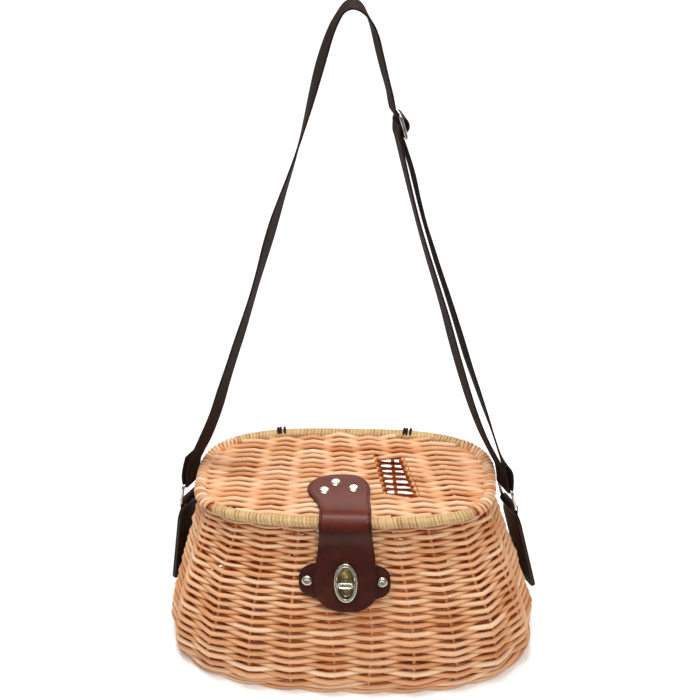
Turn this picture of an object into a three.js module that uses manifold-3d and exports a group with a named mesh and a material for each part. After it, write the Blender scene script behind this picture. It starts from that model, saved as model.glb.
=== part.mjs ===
// Willow fishing creel with a leather closure and a webbing shoulder strap, in mm, +Z up.
// Everything is laid out in basket coordinates (z = 0 at the lid's top, front is -Y) and then
// shifted so that the origin is the point that the shoulder strap hangs from.
import * as THREE from "three";
import Module from "manifold-3d";

// ---- basket plan ----
const HEIGHT = 190; // lid top to the ground
const HALF_WIDTH = 175; // at the widest height
const FRONT = 91; // reach of the belly in front
const BACK = 80.6; // reach behind
const SEGMENTS = 76; // points round every basket outline
const LEVELS = [
  // shares of HEIGHT, HALF_WIDTH, FRONT and BACK, then the corner exponents in front and behind
  [-0.053, 0.754, 0.571, 0.881, 2.8, 2.8],
  [-0.274, 0.824, 0.699, 0.921, 2.9, 2.7],
  [-0.5, 0.899, 0.834, 0.963, 3.15, 2.65],
  [-0.711, 0.963, 0.945, 0.99, 3.1, 2.65],
  [-0.874, 1, 1, 1, 2.85, 2.65],
  [-0.958, 0.994, 0.996, 0.98, 2.7, 2.65],
  [-1, 0.971, 0.962, 0.937, 2.7, 2.65],
];
const OVERHANG = { side: 3.3, front: 5.6, back: 1.6 }; // of the lid, past the mouth of the basket
const LID_CORNER = { front: 2.97, back: 3.1 };
const GAP = 0.4; // between neighbouring pieces
const WALL = 9; // thickness of the woven wall
const RIM = { height: 9, depth: 9.5 };
const BORDER = { top: -RIM.height - 1, height: 8.5, depth: 10.5 };
const WALE = { height: 14, depth: 12 };
const LID_THICK = 7;
const LID_TOP = -0.8; // the woven lid lies a little below the top of its rim
const BASE_THICK = 7;
// corners of the opening in the lid, as shares of the lid's half width and front reach
const SLOT = [[0.27, -0.35], [0.452, -0.22], [0.385, 0.66], [0.203, 0.58]];
const HINGES = { at: [-0.484, 0.407], width: 8, thick: 2 }; // at: shares of the lid's half width

// ---- leather closure ----
const LEATHER = 3;
const FLAP = { x: 4, width: 56.4, drop: 88 }; // middle, width of the head, reach down the front
const LOCK = { halfWidth: 10.4, halfHeight: 19.6, opening: [7.0, 15.6], thick: 2.4, at: 0.682 };
const KNOB = { length: 14.6, width: 6.2, height: 4.4, stem: 2.5 };
// the ears reach beyond the flap on both sides, and their rivets stand clear of its edges
const EAR = { beyond: 12.8, halfHeight: 19.5, thick: 3, rivet: 4.4, clear: 0.9, shift: -1.5, below: 2 };
const RIVET = { radius: 4.7, height: 2.2 };
// outline of the flap: [along, left, right]; along is a share of the lid's front reach, then of the
// drop down the front; left and right are shares of the flap's width from its middle
const FLAP_ON_LID = [
  [0.017, -0.177, 0.035], [0, -0.319, 0.133], [-0.052, -0.461, 0.222],
  [-0.122, -0.559, 0.293], [-0.208, -0.621, 0.34], [-0.312, -0.638, 0.362],
  [-0.417, -0.603, 0.36], [-0.538, -0.514, 0.365], [-0.677, -0.433, 0.387],
  [-0.816, -0.401, 0.408],
];
const FLAP_DOWN = [
  [-0.148, -0.404, 0.429], [-0.273, -0.422, 0.443], [-0.409, -0.454, 0.465],
  [-0.545, -0.486, 0.479], [-0.682, -0.504, 0.484], [-0.784, -0.5, 0.482],
  [-0.864, -0.457, 0.45], [-0.926, -0.376, 0.372], [-0.972, -0.266, 0.262],
  [-1, -0.128, 0.124],
];
const LID_RIVETS = [[-0.367, -0.356], [-0.2, -0.17], [0.094, -0.295]];

// ---- carrying gear ----
const WIRE = 1.5; // radius of the ring wire
const RING = { turn: Math.PI / 6, halfWidth: 12.6, y: 20, drop: 13, height: 22, clear: 9.9, lean: 4.3 };
const TAB = { width: 28, thick: 3.8, drop: 113 };
const TAB_RIVETS = [0.69, 0.885]; // shares of the tab's drop
const WEB = { width: 20, thick: 1.6 };
const APEX = { x: 22.8, rise: 443 }; // the strap's highest point over the lid
const BAR = 1.3; // radius of the slider's bars
const SLIDER = { x: 0.742, z: 0.796, halfWidth: 12.4, reach: 10, turn: -0.32 }; // x, z as in the courses below
// the strap's free course: [towards the apex from the ring below it, up from that ring, turn of its
// width in degrees]; the first two are shares of the distance from the ring's upper bar to the apex
const COURSE_LEFT = [
  [0.018, 0.03, 30], [0.027, 0.047, 31], [0.051, 0.067, 33], [0.107, 0.11, 35],
  [0.182, 0.176, 30], [0.24, 0.239, 26], [0.294, 0.295, 23], [0.349, 0.352, 22],
  [0.4, 0.406, 18], [0.449, 0.459, 15], [0.496, 0.511, 17], [0.539, 0.561, 21],
  [0.583, 0.611, 20], [0.628, 0.658, 14], [0.675, 0.705, 8], [0.718, 0.751, 2],
  [0.756, 0.796, -5], [0.791, 0.839, -12], [0.826, 0.882, -16], [0.863, 0.923, -15],
  [0.896, 0.955, -10], [0.925, 0.976, -5], [0.958, 0.994, -1],
];
const COURSE_OVER = [
  [1, 1, -2], [0.948, 0.992, -8], [0.907, 0.974, -16], [0.879, 0.951, -20],
  [0.855, 0.918, -21], [0.827, 0.881, -20], [0.8, 0.849, -18.5],
];
const COURSE_OUTER = [
  [0.674, 0.712, -17], [0.635, 0.66, -15], [0.596, 0.611, -15], [0.55, 0.563, -17],
  [0.5, 0.512, -19], [0.447, 0.462, -20], [0.395, 0.411, -21], [0.342, 0.357, -22],
  [0.288, 0.301, -22], [0.227, 0.245, -20], [0.165, 0.188, -17], [0.1, 0.129, -12],
  [0.045, 0.08, -14],
];
const COURSE_INNER = [
  [0.029, 0.03, -30], [0.043, 0.047, -29], [0.081, 0.069, -28], [0.17, 0.125, -26],
  [0.247, 0.187, -26], [0.306, 0.245, -26], [0.358, 0.301, -26], [0.407, 0.357, -25],
  [0.452, 0.411, -23], [0.5, 0.462, -21], [0.548, 0.512, -20], [0.596, 0.563, -18],
  [0.638, 0.611, -16], [0.677, 0.66, -16], [0.716, 0.712, -17],
];

const wasm = await Module();
wasm.setup();

// ---------- small helpers ----------
const lerp = (a, b, t) => a + (b - a) * t;

function level(z) {
  // the plan at height z: half width, front, back and the two exponents, Catmull-Rom through LEVELS
  const rows = LEVELS;
  const h = z / HEIGHT;
  let i = 0;
  while (i < rows.length - 2 && h < rows[i + 1][0]) i += 1;
  const t = Math.min(1, Math.max(0, (rows[i][0] - h) / (rows[i][0] - rows[i + 1][0])));
  const p = [rows[Math.max(0, i - 1)], rows[i], rows[i + 1], rows[Math.min(rows.length - 1, i + 2)]];
  const slope = (k, a, b, c) => {
    // tangent at b per unit of t inside the current span
    const span = rows[i][0] - rows[i + 1][0];
    return a === c ? 0 : ((c[k] - a[k]) / (a[0] - c[0])) * span;
  };
  return [HALF_WIDTH, FRONT, BACK, 1, 1].map((size, column) => {
    const k = column + 1;
    const m0 = slope(k, p[0], p[1], p[2]);
    const m1 = slope(k, p[1], p[2], p[3]);
    const t2 = t * t;
    const t3 = t2 * t;
    return size * ((2 * t3 - 3 * t2 + 1) * p[1][k] + (t3 - 2 * t2 + t) * m0 +
      (3 * t2 - 2 * t3) * p[2][k] + (t3 - t2) * m1);
  });
}

function outline([a, front, back, nFront, nBack], inset = 0, count = SEGMENTS) {
  // a rounded plan, evenly spaced along its length from the middle of the front, counter-clockwise
  const fine = [];
  for (let i = 0; i < 1440; i += 1) {
    const th = -Math.PI / 2 + (i / 1440) * 2 * Math.PI;
    const c = Math.cos(th);
    const s = Math.sin(th);
    const n = s < 0 ? nFront : nBack;
    const b = s < 0 ? front : back;
    fine.push([
      a * Math.sign(c) * Math.abs(c) ** (2 / n),
      b * Math.sign(s) * Math.abs(s) ** (2 / n),
    ]);
  }
  const inner = fine.map((p, i) => {
    // moved inwards along the normal
    const q = fine[(i + 1) % fine.length];
    const o = fine[(i + fine.length - 1) % fine.length];
    const t = [q[0] - o[0], q[1] - o[1]];
    const len = Math.hypot(...t) || 1;
    return [p[0] - (t[1] / len) * inset, p[1] + (t[0] / len) * inset];
  });
  const sums = [0];
  for (let i = 0; i < inner.length; i += 1) {
    const q = inner[(i + 1) % inner.length];
    sums.push(sums[i] + Math.hypot(q[0] - inner[i][0], q[1] - inner[i][1]));
  }
  const total = sums[inner.length];
  const out = [];
  let j = 0;
  for (let i = 0; i < count; i += 1) {
    const want = (i / count) * total;
    while (sums[j + 1] < want) j += 1;
    const t = (want - sums[j]) / (sums[j + 1] - sums[j]);
    const q = inner[(j + 1) % inner.length];
    out.push([lerp(inner[j][0], q[0], t), lerp(inner[j][1], q[1], t)]);
  }
  return out;
}

function geometryFrom(positions, triangles) {
  const g = new THREE.BufferGeometry();
  g.setAttribute("position", new THREE.Float32BufferAttribute(positions.flat(), 3));
  g.setIndex(triangles.flat());
  g.computeVertexNormals();
  return g;
}

function loft(rings, { closedAlong = false, caps = true } = {}) {
  // a closed skin through rings that all have the same number of points
  const n = rings[0].length;
  const m = rings.length;
  const tris = [];
  for (let i = 0; i < (closedAlong ? m : m - 1); i += 1) {
    const k = (i + 1) % m;
    for (let j = 0; j < n; j += 1) {
      const l = (j + 1) % n;
      tris.push([i * n + j, i * n + l, k * n + l], [i * n + j, k * n + l, k * n + j]);
    }
  }
  if (!closedAlong && caps) {
    for (let j = 1; j < n - 1; j += 1) {
      tris.push([0, j + 1, j], [(m - 1) * n, (m - 1) * n + j, (m - 1) * n + j + 1]);
    }
  }
  const g = geometryFrom(rings.flat(), tris);
  return signedVolume(g) < 0 ? flipped(g) : g;
}

function signedVolume(g) {
  const p = g.attributes.position;
  const ix = g.index.array;
  const a = new THREE.Vector3();
  const b = new THREE.Vector3();
  const c = new THREE.Vector3();
  let sum = 0;
  for (let i = 0; i < ix.length; i += 3) {
    a.fromBufferAttribute(p, ix[i]);
    b.fromBufferAttribute(p, ix[i + 1]);
    c.fromBufferAttribute(p, ix[i + 2]);
    sum += a.dot(b.cross(c));
  }
  return sum;
}

function flipped(g) {
  const ix = Array.from(g.index.array);
  for (let i = 0; i < ix.length; i += 3) [ix[i], ix[i + 1]] = [ix[i + 1], ix[i]];
  g.setIndex(ix);
  g.computeVertexNormals();
  return g;
}

function section(width, height, count = 8, power = 3) {
  // a rounded box section centred on the origin
  const out = [];
  for (let i = 0; i < count; i += 1) {
    const th = ((i + 0.5) / count) * 2 * Math.PI;
    const c = Math.cos(th);
    const s = Math.sin(th);
    out.push([
      (width / 2) * Math.sign(c) * Math.abs(c) ** (2 / power),
      (height / 2) * Math.sign(s) * Math.abs(s) ** (2 / power),
    ]);
  }
  return out;
}

function hoop(plan, centreZ, height, depth, power = 3) {
  // a band round the basket: its section at every point of the plan, outer side on the plan
  const path = outline(plan, depth / 2);
  const prof = section(depth, height, 8, power);
  const rings = path.map((p, i) => {
    const q = path[(i + 1) % path.length];
    const o = path[(i + path.length - 1) % path.length];
    const t = [q[0] - o[0], q[1] - o[1]];
    const len = Math.hypot(...t);
    const nx = t[1] / len;
    const ny = -t[0] / len;
    return prof.map(([u, v]) => [p[0] + nx * u, p[1] + ny * u, centreZ + v]);
  });
  return loft(rings, { closedAlong: true });
}

function toManifold(g) {
  const pos = g.attributes.position;
  const keys = new Map();
  const verts = [];
  const map = [];
  for (let i = 0; i < pos.count; i += 1) {
    const v = [pos.getX(i), pos.getY(i), pos.getZ(i)];
    const key = v.map((c) => Math.round(c * 1e4)).join();
    if (!keys.has(key)) {
      keys.set(key, verts.length / 3);
      verts.push(...v);
    }
    map.push(keys.get(key));
  }
  const ix = g.index ? Array.from(g.index.array) : map.map((_, i) => i);
  const tris = [];
  for (let i = 0; i < ix.length; i += 3) {
    const t = [map[ix[i]], map[ix[i + 1]], map[ix[i + 2]]];
    if (t[0] !== t[1] && t[1] !== t[2] && t[2] !== t[0]) tris.push(...t);
  }
  return new wasm.Manifold(new wasm.Mesh({
    numProp: 3, vertProperties: new Float32Array(verts), triVerts: new Uint32Array(tris),
  }));
}

function fromManifold(m) {
  const mesh = m.getMesh();
  const g = new THREE.BufferGeometry();
  g.setAttribute("position", new THREE.Float32BufferAttribute(Array.from(mesh.vertProperties), 3));
  g.setIndex(Array.from(mesh.triVerts));
  g.computeVertexNormals();
  return g;
}

const cut = (g, ...tools) => fromManifold(tools.reduce((m, t) => m.subtract(toManifold(t)), toManifold(g)));

function prism(points, depth, bevel = 0) {
  // points are [x, y]; the prism stands on z = 0
  const shape = new THREE.Shape(points.map(([x, y]) => new THREE.Vector2(x, y)));
  return new THREE.ExtrudeGeometry(shape, {
    depth: depth - 2 * bevel, bevelEnabled: bevel > 0, bevelThickness: bevel, bevelSize: bevel,
    bevelOffset: -bevel, bevelSegments: 1, curveSegments: 12,
  }).translate(0, 0, bevel);
}

function oval(halfWidth, halfHeight, count = 28, power = 2.3) {
  return Array.from({ length: count }, (_, i) => {
    const th = (i / count) * 2 * Math.PI;
    const c = Math.cos(th);
    const s = Math.sin(th);
    return [
      halfWidth * Math.sign(c) * Math.abs(c) ** (2 / power),
      halfHeight * Math.sign(s) * Math.abs(s) ** (2 / power),
    ];
  });
}

function dome(radius, height) {
  // a low rivet head standing on z = 0
  const half = [[0, height], [0.45, 0.9], [0.8, 0.62], [1, 0.2], [1, 0]].map(([r, h], i) =>
    new THREE.Vector2(i === 0 ? 0.0001 : r * radius, i === 0 ? height : h * height));
  const rings = half.slice(1).map((v) =>
    Array.from({ length: 16 }, (_, i) => {
      const th = (i / 16) * 2 * Math.PI;
      return [v.x * Math.cos(th), v.x * Math.sin(th), v.y];
    }));
  const pts = [...rings.flat(), [0, 0, height], [0, 0, 0]];
  const tris = [];
  for (let i = 0; i < rings.length - 1; i += 1) {
    for (let j = 0; j < 16; j += 1) {
      const l = (j + 1) % 16;
      tris.push([i * 16 + j, (i + 1) * 16 + j, (i + 1) * 16 + l], [i * 16 + j, (i + 1) * 16 + l, i * 16 + l]);
    }
  }
  const last = (rings.length - 1) * 16;
  for (let j = 0; j < 16; j += 1) {
    const l = (j + 1) % 16;
    tris.push([rings.length * 16, j, l], [rings.length * 16 + 1, last + l, last + j]);
  }
  return geometryFrom(pts, tris);
}

// frame on the front panel: x right, "up" along the leaning panel, out from the basket
const panelY = (z) => -level(z)[1];
const PANEL_Z = -LOCK.at * FLAP.drop;
const PANEL_SPAN = [HEIGHT * 0.0632, HEIGHT * 0.1316]; // over and under the lock, where the lean is taken
const FRONT_LEAN = Math.atan2(
  panelY(PANEL_Z + PANEL_SPAN[0]) - panelY(PANEL_Z - PANEL_SPAN[1]), PANEL_SPAN[0] + PANEL_SPAN[1]);
const LOCK_X = FLAP.x;
const EAR_X = FLAP.x + EAR.shift;
const EAR_HALF_WIDTH = FLAP.width / 2 + EAR.beyond;
const EAR_RIVET_X = FLAP.width / 2 + EAR.clear + EAR.rivet;
const PANEL_UP = [0, Math.sin(FRONT_LEAN), Math.cos(FRONT_LEAN)];
const PANEL_OUT = [0, -Math.cos(FRONT_LEAN), Math.sin(FRONT_LEAN)];

function onPanel(g, x, z, lift) {
  // puts something built on z = 0 onto the front panel, lift outwards from the weave
  const m = new THREE.Matrix4().makeBasis(
    new THREE.Vector3(1, 0, 0), new THREE.Vector3(...PANEL_UP), new THREE.Vector3(...PANEL_OUT));
  m.setPosition(
    x, panelY(PANEL_Z) + (z - PANEL_Z) * Math.tan(FRONT_LEAN) + PANEL_OUT[1] * lift,
    z + PANEL_OUT[2] * lift);
  return g.applyMatrix4(m);
}

// ---------- basket ----------
function basketWall() {
  const top = BORDER.top - BORDER.height - GAP;
  const bottom = -HEIGHT + WALE.height + GAP;
  const heights = Array.from({ length: 7 }, (_, i) => lerp(top, bottom, i / 6));
  const outer = heights.map((z) => outline(level(z)).map(([x, y]) => [x, y, z]));
  const inner = heights.map((z) => outline(level(z), WALL).map(([x, y]) => [x, y, z])).reverse();
  return loft([...outer, ...inner], { closedAlong: true });
}

function plate(points, z0, z1) {
  const rings = [points.map(([x, y]) => [x, y, z0]), points.map(([x, y]) => [x, y, z1])];
  return loft(rings);
}

const mouth = level(BORDER.top);
const lid = { halfWidth: mouth[0] + OVERHANG.side, front: mouth[1] + OVERHANG.front, back: mouth[2] + OVERHANG.back };
const lidPlan = [lid.halfWidth, lid.front, lid.back, LID_CORNER.front, LID_CORNER.back];
const borderZ = BORDER.top - BORDER.height / 2;
const waleZ = -HEIGHT + 0.3 + (WALE.height - 0.3) / 2;

function hingeFrame(x) {
  // the point of the lid's back edge at x, with the direction of the edge there
  const edge = outline(lidPlan, 0, 720);
  const back = edge.filter((p) => p[1] > 0).sort((p, q) => Math.abs(p[0] - x) - Math.abs(q[0] - x));
  const [a, b] = [back[0], back[1]];
  const dir = a[0] > b[0] ? [a[0] - b[0], a[1] - b[1]] : [b[0] - a[0], b[1] - a[1]];
  return { at: a, angle: Math.atan2(dir[1], dir[0]) };
}

function hingeBand(x, grow = 0, solid = false) {
  // a band lashed round the lid's rim and the top border, its hollow just clear of both
  const inner = { y0: -RIM.depth - 4.8, y1: 0.8, z0: borderZ - BORDER.height / 2 - 1.2, z1: 0.8 };
  const t = HINGES.thick + grow;
  const corners = (e, r) => {
    const s = new THREE.Shape();
    const [y0, y1, z0, z1] = [inner.y0 - e, inner.y1 + e, inner.z0 - e, inner.z1 + e];
    s.moveTo(y0 + r, z0);
    s.lineTo(y1 - r, z0).quadraticCurveTo(y1, z0, y1, z0 + r);
    s.lineTo(y1, z1 - r).quadraticCurveTo(y1, z1, y1 - r, z1);
    s.lineTo(y0 + r, z1).quadraticCurveTo(y0, z1, y0, z1 - r);
    s.lineTo(y0, z0 + r).quadraticCurveTo(y0, z0, y0 + r, z0);
    return s;
  };
  const shape = corners(t, 4.5);
  if (!solid) shape.holes.push(corners(-grow, 3));
  const g = new THREE.ExtrudeGeometry(shape, {
    depth: HINGES.width + 2 * grow, bevelEnabled: false, curveSegments: 3,
  });
  g.translate(0, 0, -HINGES.width / 2 - grow);
  g.applyMatrix4(new THREE.Matrix4().makeBasis(
    new THREE.Vector3(0, 1, 0), new THREE.Vector3(0, 0, 1), new THREE.Vector3(1, 0, 0)));
  const f = hingeFrame(x);
  return g.rotateZ(f.angle).translate(f.at[0], f.at[1], 0);
}

// ---------- closure ----------
function flapPath() {
  // stations of the leather's middle: [y, z, left, right], over the lid, round the rim, down the front
  const half = LEATHER / 2;
  const lift = 0.75;
  const rimY = -lid.front;
  const wide = (share) => FLAP.x + share * FLAP.width;
  const rows = FLAP_ON_LID.map(([along, l, r]) => [along * lid.front, lift + half, wide(l), wide(r)]);
  const bend = 6.5;
  const [over, down] = [FLAP_ON_LID[FLAP_ON_LID.length - 1], FLAP_DOWN[0]];
  for (let i = 1; i <= 4; i += 1) {
    const a = (i / 5) * (Math.PI / 2);
    rows.push([
      rimY - lift - half + bend - bend * Math.sin(a), lift + half - bend + bend * Math.cos(a),
      wide(lerp(over[1], down[1], i / 5)), wide(lerp(over[2], down[2], i / 5)),
    ]);
  }
  const outside = LEATHER + EAR.thick + 1.05 - half;
  for (const [share, l, r] of FLAP_DOWN) {
    const z = share * FLAP.drop;
    const lying = panelY(PANEL_Z) + (z - PANEL_Z) * Math.tan(FRONT_LEAN) - outside / Math.cos(FRONT_LEAN);
    const t = Math.min(1, Math.max(0, (z / FLAP.drop + 0.48) / 0.39));
    rows.push([lerp(lying, rimY - lift - half - 0.5, t * t * (3 - 2 * t)), z, wide(l), wide(r)]);
  }
  return rows;
}

function closureFlap() {
  const rows = flapPath();
  const across = 6;
  const rings = rows.map(([y, z, l, r], i) => {
    const a = rows[Math.max(0, i - 1)];
    const b = rows[Math.min(rows.length - 1, i + 1)];
    const t = [b[0] - a[0], b[1] - a[1]];
    const len = Math.hypot(...t);
    const n = [t[1] / len, -t[0] / len]; // outward side of the leather
    const ring = [];
    for (let j = 0; j <= across; j += 1) ring.push([lerp(l, r, j / across), -1]);
    for (let j = across; j >= 0; j -= 1) ring.push([lerp(l, r, j / across), 1]);
    return ring.map(([x, side]) => [
      x, y - n[0] * side * (LEATHER / 2), z - n[1] * side * (LEATHER / 2),
    ]);
  });
  const skin = loft(rings);
  const window = onPanel(
    prism(oval(LOCK.opening[0] + 0.5, LOCK.opening[1] + 0.5), 20), LOCK_X, PANEL_Z, -4);
  return cut(skin, window);
}

const plateLift = LEATHER + EAR.thick + 1.4;
const floorLift = EAR.thick + 0.8; // the lock's post stands on the leather ears
const knobLift = plateLift + LOCK.thick + 0.4;

function lockPlate() {
  const outer = oval(LOCK.halfWidth, LOCK.halfHeight, 32, 2.1);
  const hole = oval(LOCK.opening[0] + 0.4, LOCK.opening[1] + 0.4, 32, 2.1);
  const body = prism(outer, LOCK.thick, 0.6);
  return onPanel(cut(body, prism(hole, 10).translate(0, 0, -4)), LOCK_X, PANEL_Z, plateLift);
}

function lockPost() {
  const post = prism(oval(LOCK.opening[0], LOCK.opening[1], 32, 2.1), 4.6);
  const bore = new THREE.CylinderGeometry(KNOB.stem + 0.35, KNOB.stem + 0.35, 10, 24)
    .rotateX(Math.PI / 2).translate(0, 0, 2 + 5);
  return onPanel(cut(post, bore), LOCK_X, PANEL_Z, floorLift);
}

function lockKnob() {
  const bar = prism(oval(KNOB.length / 2, KNOB.width / 2, 24, 3), KNOB.height, 1.2);
  const drop = knobLift - (floorLift + 2.5);
  const stem = new THREE.CylinderGeometry(KNOB.stem, KNOB.stem, drop + 1, 24)
    .rotateX(Math.PI / 2).translate(0, 0, 1 - (drop + 1) / 2);
  const whole = fromManifold(toManifold(bar).add(toManifold(stem)));
  return onPanel(whole, LOCK_X, PANEL_Z, knobLift);
}

function ears() {
  const shape = oval(EAR_HALF_WIDTH, EAR.halfHeight, 40, 3);
  return onPanel(prism(shape, EAR.thick, 0.5), EAR_X, PANEL_Z - EAR.below, 0.5);
}

// ---------- carrying gear ----------
function wireLoop(centre, across, along, halfAcross, halfAlong, corner, radius) {
  // a closed rounded rectangle of round wire; across and along are unit vectors
  const pts = [];
  for (const [sx, sy, a0] of [[1, 1, 0], [-1, 1, 90], [-1, -1, 180], [1, -1, 270]]) {
    for (let i = 0; i <= 2; i += 1) {
      const a = ((a0 + i * 45) * Math.PI) / 180;
      pts.push([sx * (halfAcross - corner) + corner * Math.cos(a), sy * (halfAlong - corner) + corner * Math.sin(a)]);
    }
  }
  const normal = new THREE.Vector3().crossVectors(across, along).normalize();
  const at = pts.map(([u, v]) => centre.clone().addScaledVector(across, u).addScaledVector(along, v));
  const rings = at.map((p, i) => {
    const q = at[(i + 1) % at.length];
    const o = at[(i + at.length - 1) % at.length];
    const t = q.clone().sub(o).normalize();
    const side = new THREE.Vector3().crossVectors(t, normal).normalize();
    return Array.from({ length: 8 }, (_, k) => {
      const a = ((k + 0.5) / 8) * 2 * Math.PI;
      const v = p.clone().addScaledVector(side, radius * Math.cos(a)).addScaledVector(normal, radius * Math.sin(a));
      return v.toArray();
    });
  });
  return loft(rings, { closedAlong: true });
}

const ringTop = -RIM.height - RING.drop;
const ringBottom = ringTop - RING.height;
const ringReach = lid.halfWidth + RING.clear;
const sides = Object.fromEntries([["left", -1], ["right", 1]].map(([name, sign]) =>
  [name, { sign, bars: [sign * ringReach, sign * (ringReach + RING.lean)] }]));
function sideAxes({ sign }) {
  const out = new THREE.Vector3(sign * Math.cos(RING.turn), Math.sin(RING.turn), 0);
  const width = new THREE.Vector3(-sign * Math.sin(RING.turn), Math.cos(RING.turn), 0);
  return { out, width };
}

function wallReach(z) {
  // how far out of the right ring's lower bar the wall stands at height z
  const [a, , back, , n] = level(z);
  let [low, high] = [-60, 60];
  for (let i = 0; i < 30; i += 1) {
    const d = (low + high) / 2;
    const x = (ringReach + RING.lean + d * Math.cos(RING.turn)) / a;
    const y = (RING.y + d * Math.sin(RING.turn)) / back;
    if (x ** n + Math.abs(y) ** n < 1) low = d;
    else high = d;
  }
  return low;
}
// the tabs lie straight against the belly of the wall
const tabLean = Math.max(...[0.5, 0.6, 0.7, 0.8, 0.9, 1].map((share) =>
  (wallReach(ringBottom - share * TAB.drop) + TAB.thick / 2 + 0.9) / (share * TAB.drop)));

function ringWire(side) {
  const { width } = sideAxes(side);
  const top = new THREE.Vector3(side.bars[0], RING.y, ringTop);
  const bottom = new THREE.Vector3(side.bars[1], RING.y, ringBottom);
  const along = top.clone().sub(bottom).normalize();
  return wireLoop(
    top.clone().add(bottom).multiplyScalar(0.5), width, along,
    RING.halfWidth, top.distanceTo(bottom) / 2, 2.4, WIRE);
}

function sideTab(side) {
  // folded leather: a strip that leans with the wall, with an eye for the ring's lower bar
  const { out, width } = sideAxes(side);
  const hole = WIRE + 0.4;
  const eye = hole + 2.6;
  const half = TAB.thick / 2;
  const drop = TAB.drop;
  const n = Math.hypot(1, tabLean);
  // local x runs outwards, local y runs up; the bar is at the origin
  const along = (d, off) => [d * tabLean / n + off / n, -d / n + (off * tabLean) / n];
  const length = drop * n;
  const start = 8;
  const rim = Array.from({ length: 11 }, (_, i) => {
    const a = (i / 10) * (Math.PI + 2 * 0.62) - 0.62;
    return [eye * Math.cos(a), eye * Math.sin(a)];
  });
  const points = [along(length, -half), along(length, half), along(start, half), ...rim, along(start, -half)];
  const s = new THREE.Shape(points.map(([x, y]) => new THREE.Vector2(x, y)));
  s.holes.push(new THREE.Path(Array.from({ length: 16 }, (_, i) => {
    const a = (-i / 16) * 2 * Math.PI;
    return new THREE.Vector2(hole * Math.cos(a), hole * Math.sin(a));
  })));
  const g = new THREE.ExtrudeGeometry(s, { depth: TAB.width, bevelEnabled: false, curveSegments: 12 });
  g.translate(0, 0, -TAB.width / 2);
  const m = new THREE.Matrix4();
  if (side.sign < 0) m.makeBasis(out, new THREE.Vector3(0, 0, 1), width);
  else m.makeBasis(out, new THREE.Vector3(0, 0, 1), width.clone().negate());
  m.setPosition(side.bars[1], RING.y, ringBottom);
  // the ring passes through the eye only: its rails need room beside the leather
  const strip = g.applyMatrix4(m);
  const { width: w } = sideAxes(side);
  const rails = [-1, 1].map((e) => {
    const box = new THREE.BoxGeometry(6.4, 2 * WIRE + 5, 14).rotateZ(Math.atan2(w.y, w.x));
    const reach = e * (RING.halfWidth - 0.2);
    return box.translate(side.bars[1] + w.x * reach, RING.y + w.y * reach, ringBottom + 4.6);
  });
  return cut(strip, ...rails);
}

function tabRivet(side, share) {
  const { out } = sideAxes(side);
  const n = Math.hypot(1, tabLean);
  const face = new THREE.Vector3(out.x, out.y, tabLean).divideScalar(n);
  const d = share * TAB.drop * tabLean;
  const at = new THREE.Vector3(side.bars[1] + out.x * d, RING.y + out.y * d, ringBottom - share * TAB.drop)
    .addScaledVector(face, TAB.thick / 2 + 0.3);
  const q = new THREE.Quaternion().setFromUnitVectors(new THREE.Vector3(0, 0, 1), face);
  return dome(RIVET.radius, RIVET.height).applyQuaternion(q).translate(at.x, at.y, at.z);
}

// the webbing's course: rows of { p, w }, its middle line and the direction of its width
const deg = Math.PI / 180;
const Y = new THREE.Vector3(0, 1, 0);
const UP = new THREE.Vector3(0, 0, 1);

const courseAt = (side, u, v) => new THREE.Vector3(
  lerp(side.bars[0], APEX.x, u), RING.y, lerp(ringTop, APEX.rise, v));

function sliderFrame() {
  // down the strap, along the bars, and out of the slider's plane
  const above = COURSE_OVER[COURSE_OVER.length - 1];
  const along = courseAt(sides.right, ...COURSE_OUTER[0]).sub(courseAt(sides.right, ...above)).normalize();
  const flat = new THREE.Vector3(-along.z, 0, along.x);
  const w = Y.clone().multiplyScalar(Math.cos(SLIDER.turn)).addScaledVector(flat, Math.sin(SLIDER.turn));
  const out = new THREE.Vector3().crossVectors(w, along);
  if (out.x < 0) out.negate();
  return { along, w, out, centre: courseAt(sides.right, SLIDER.x, SLIDER.z) };
}

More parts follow.
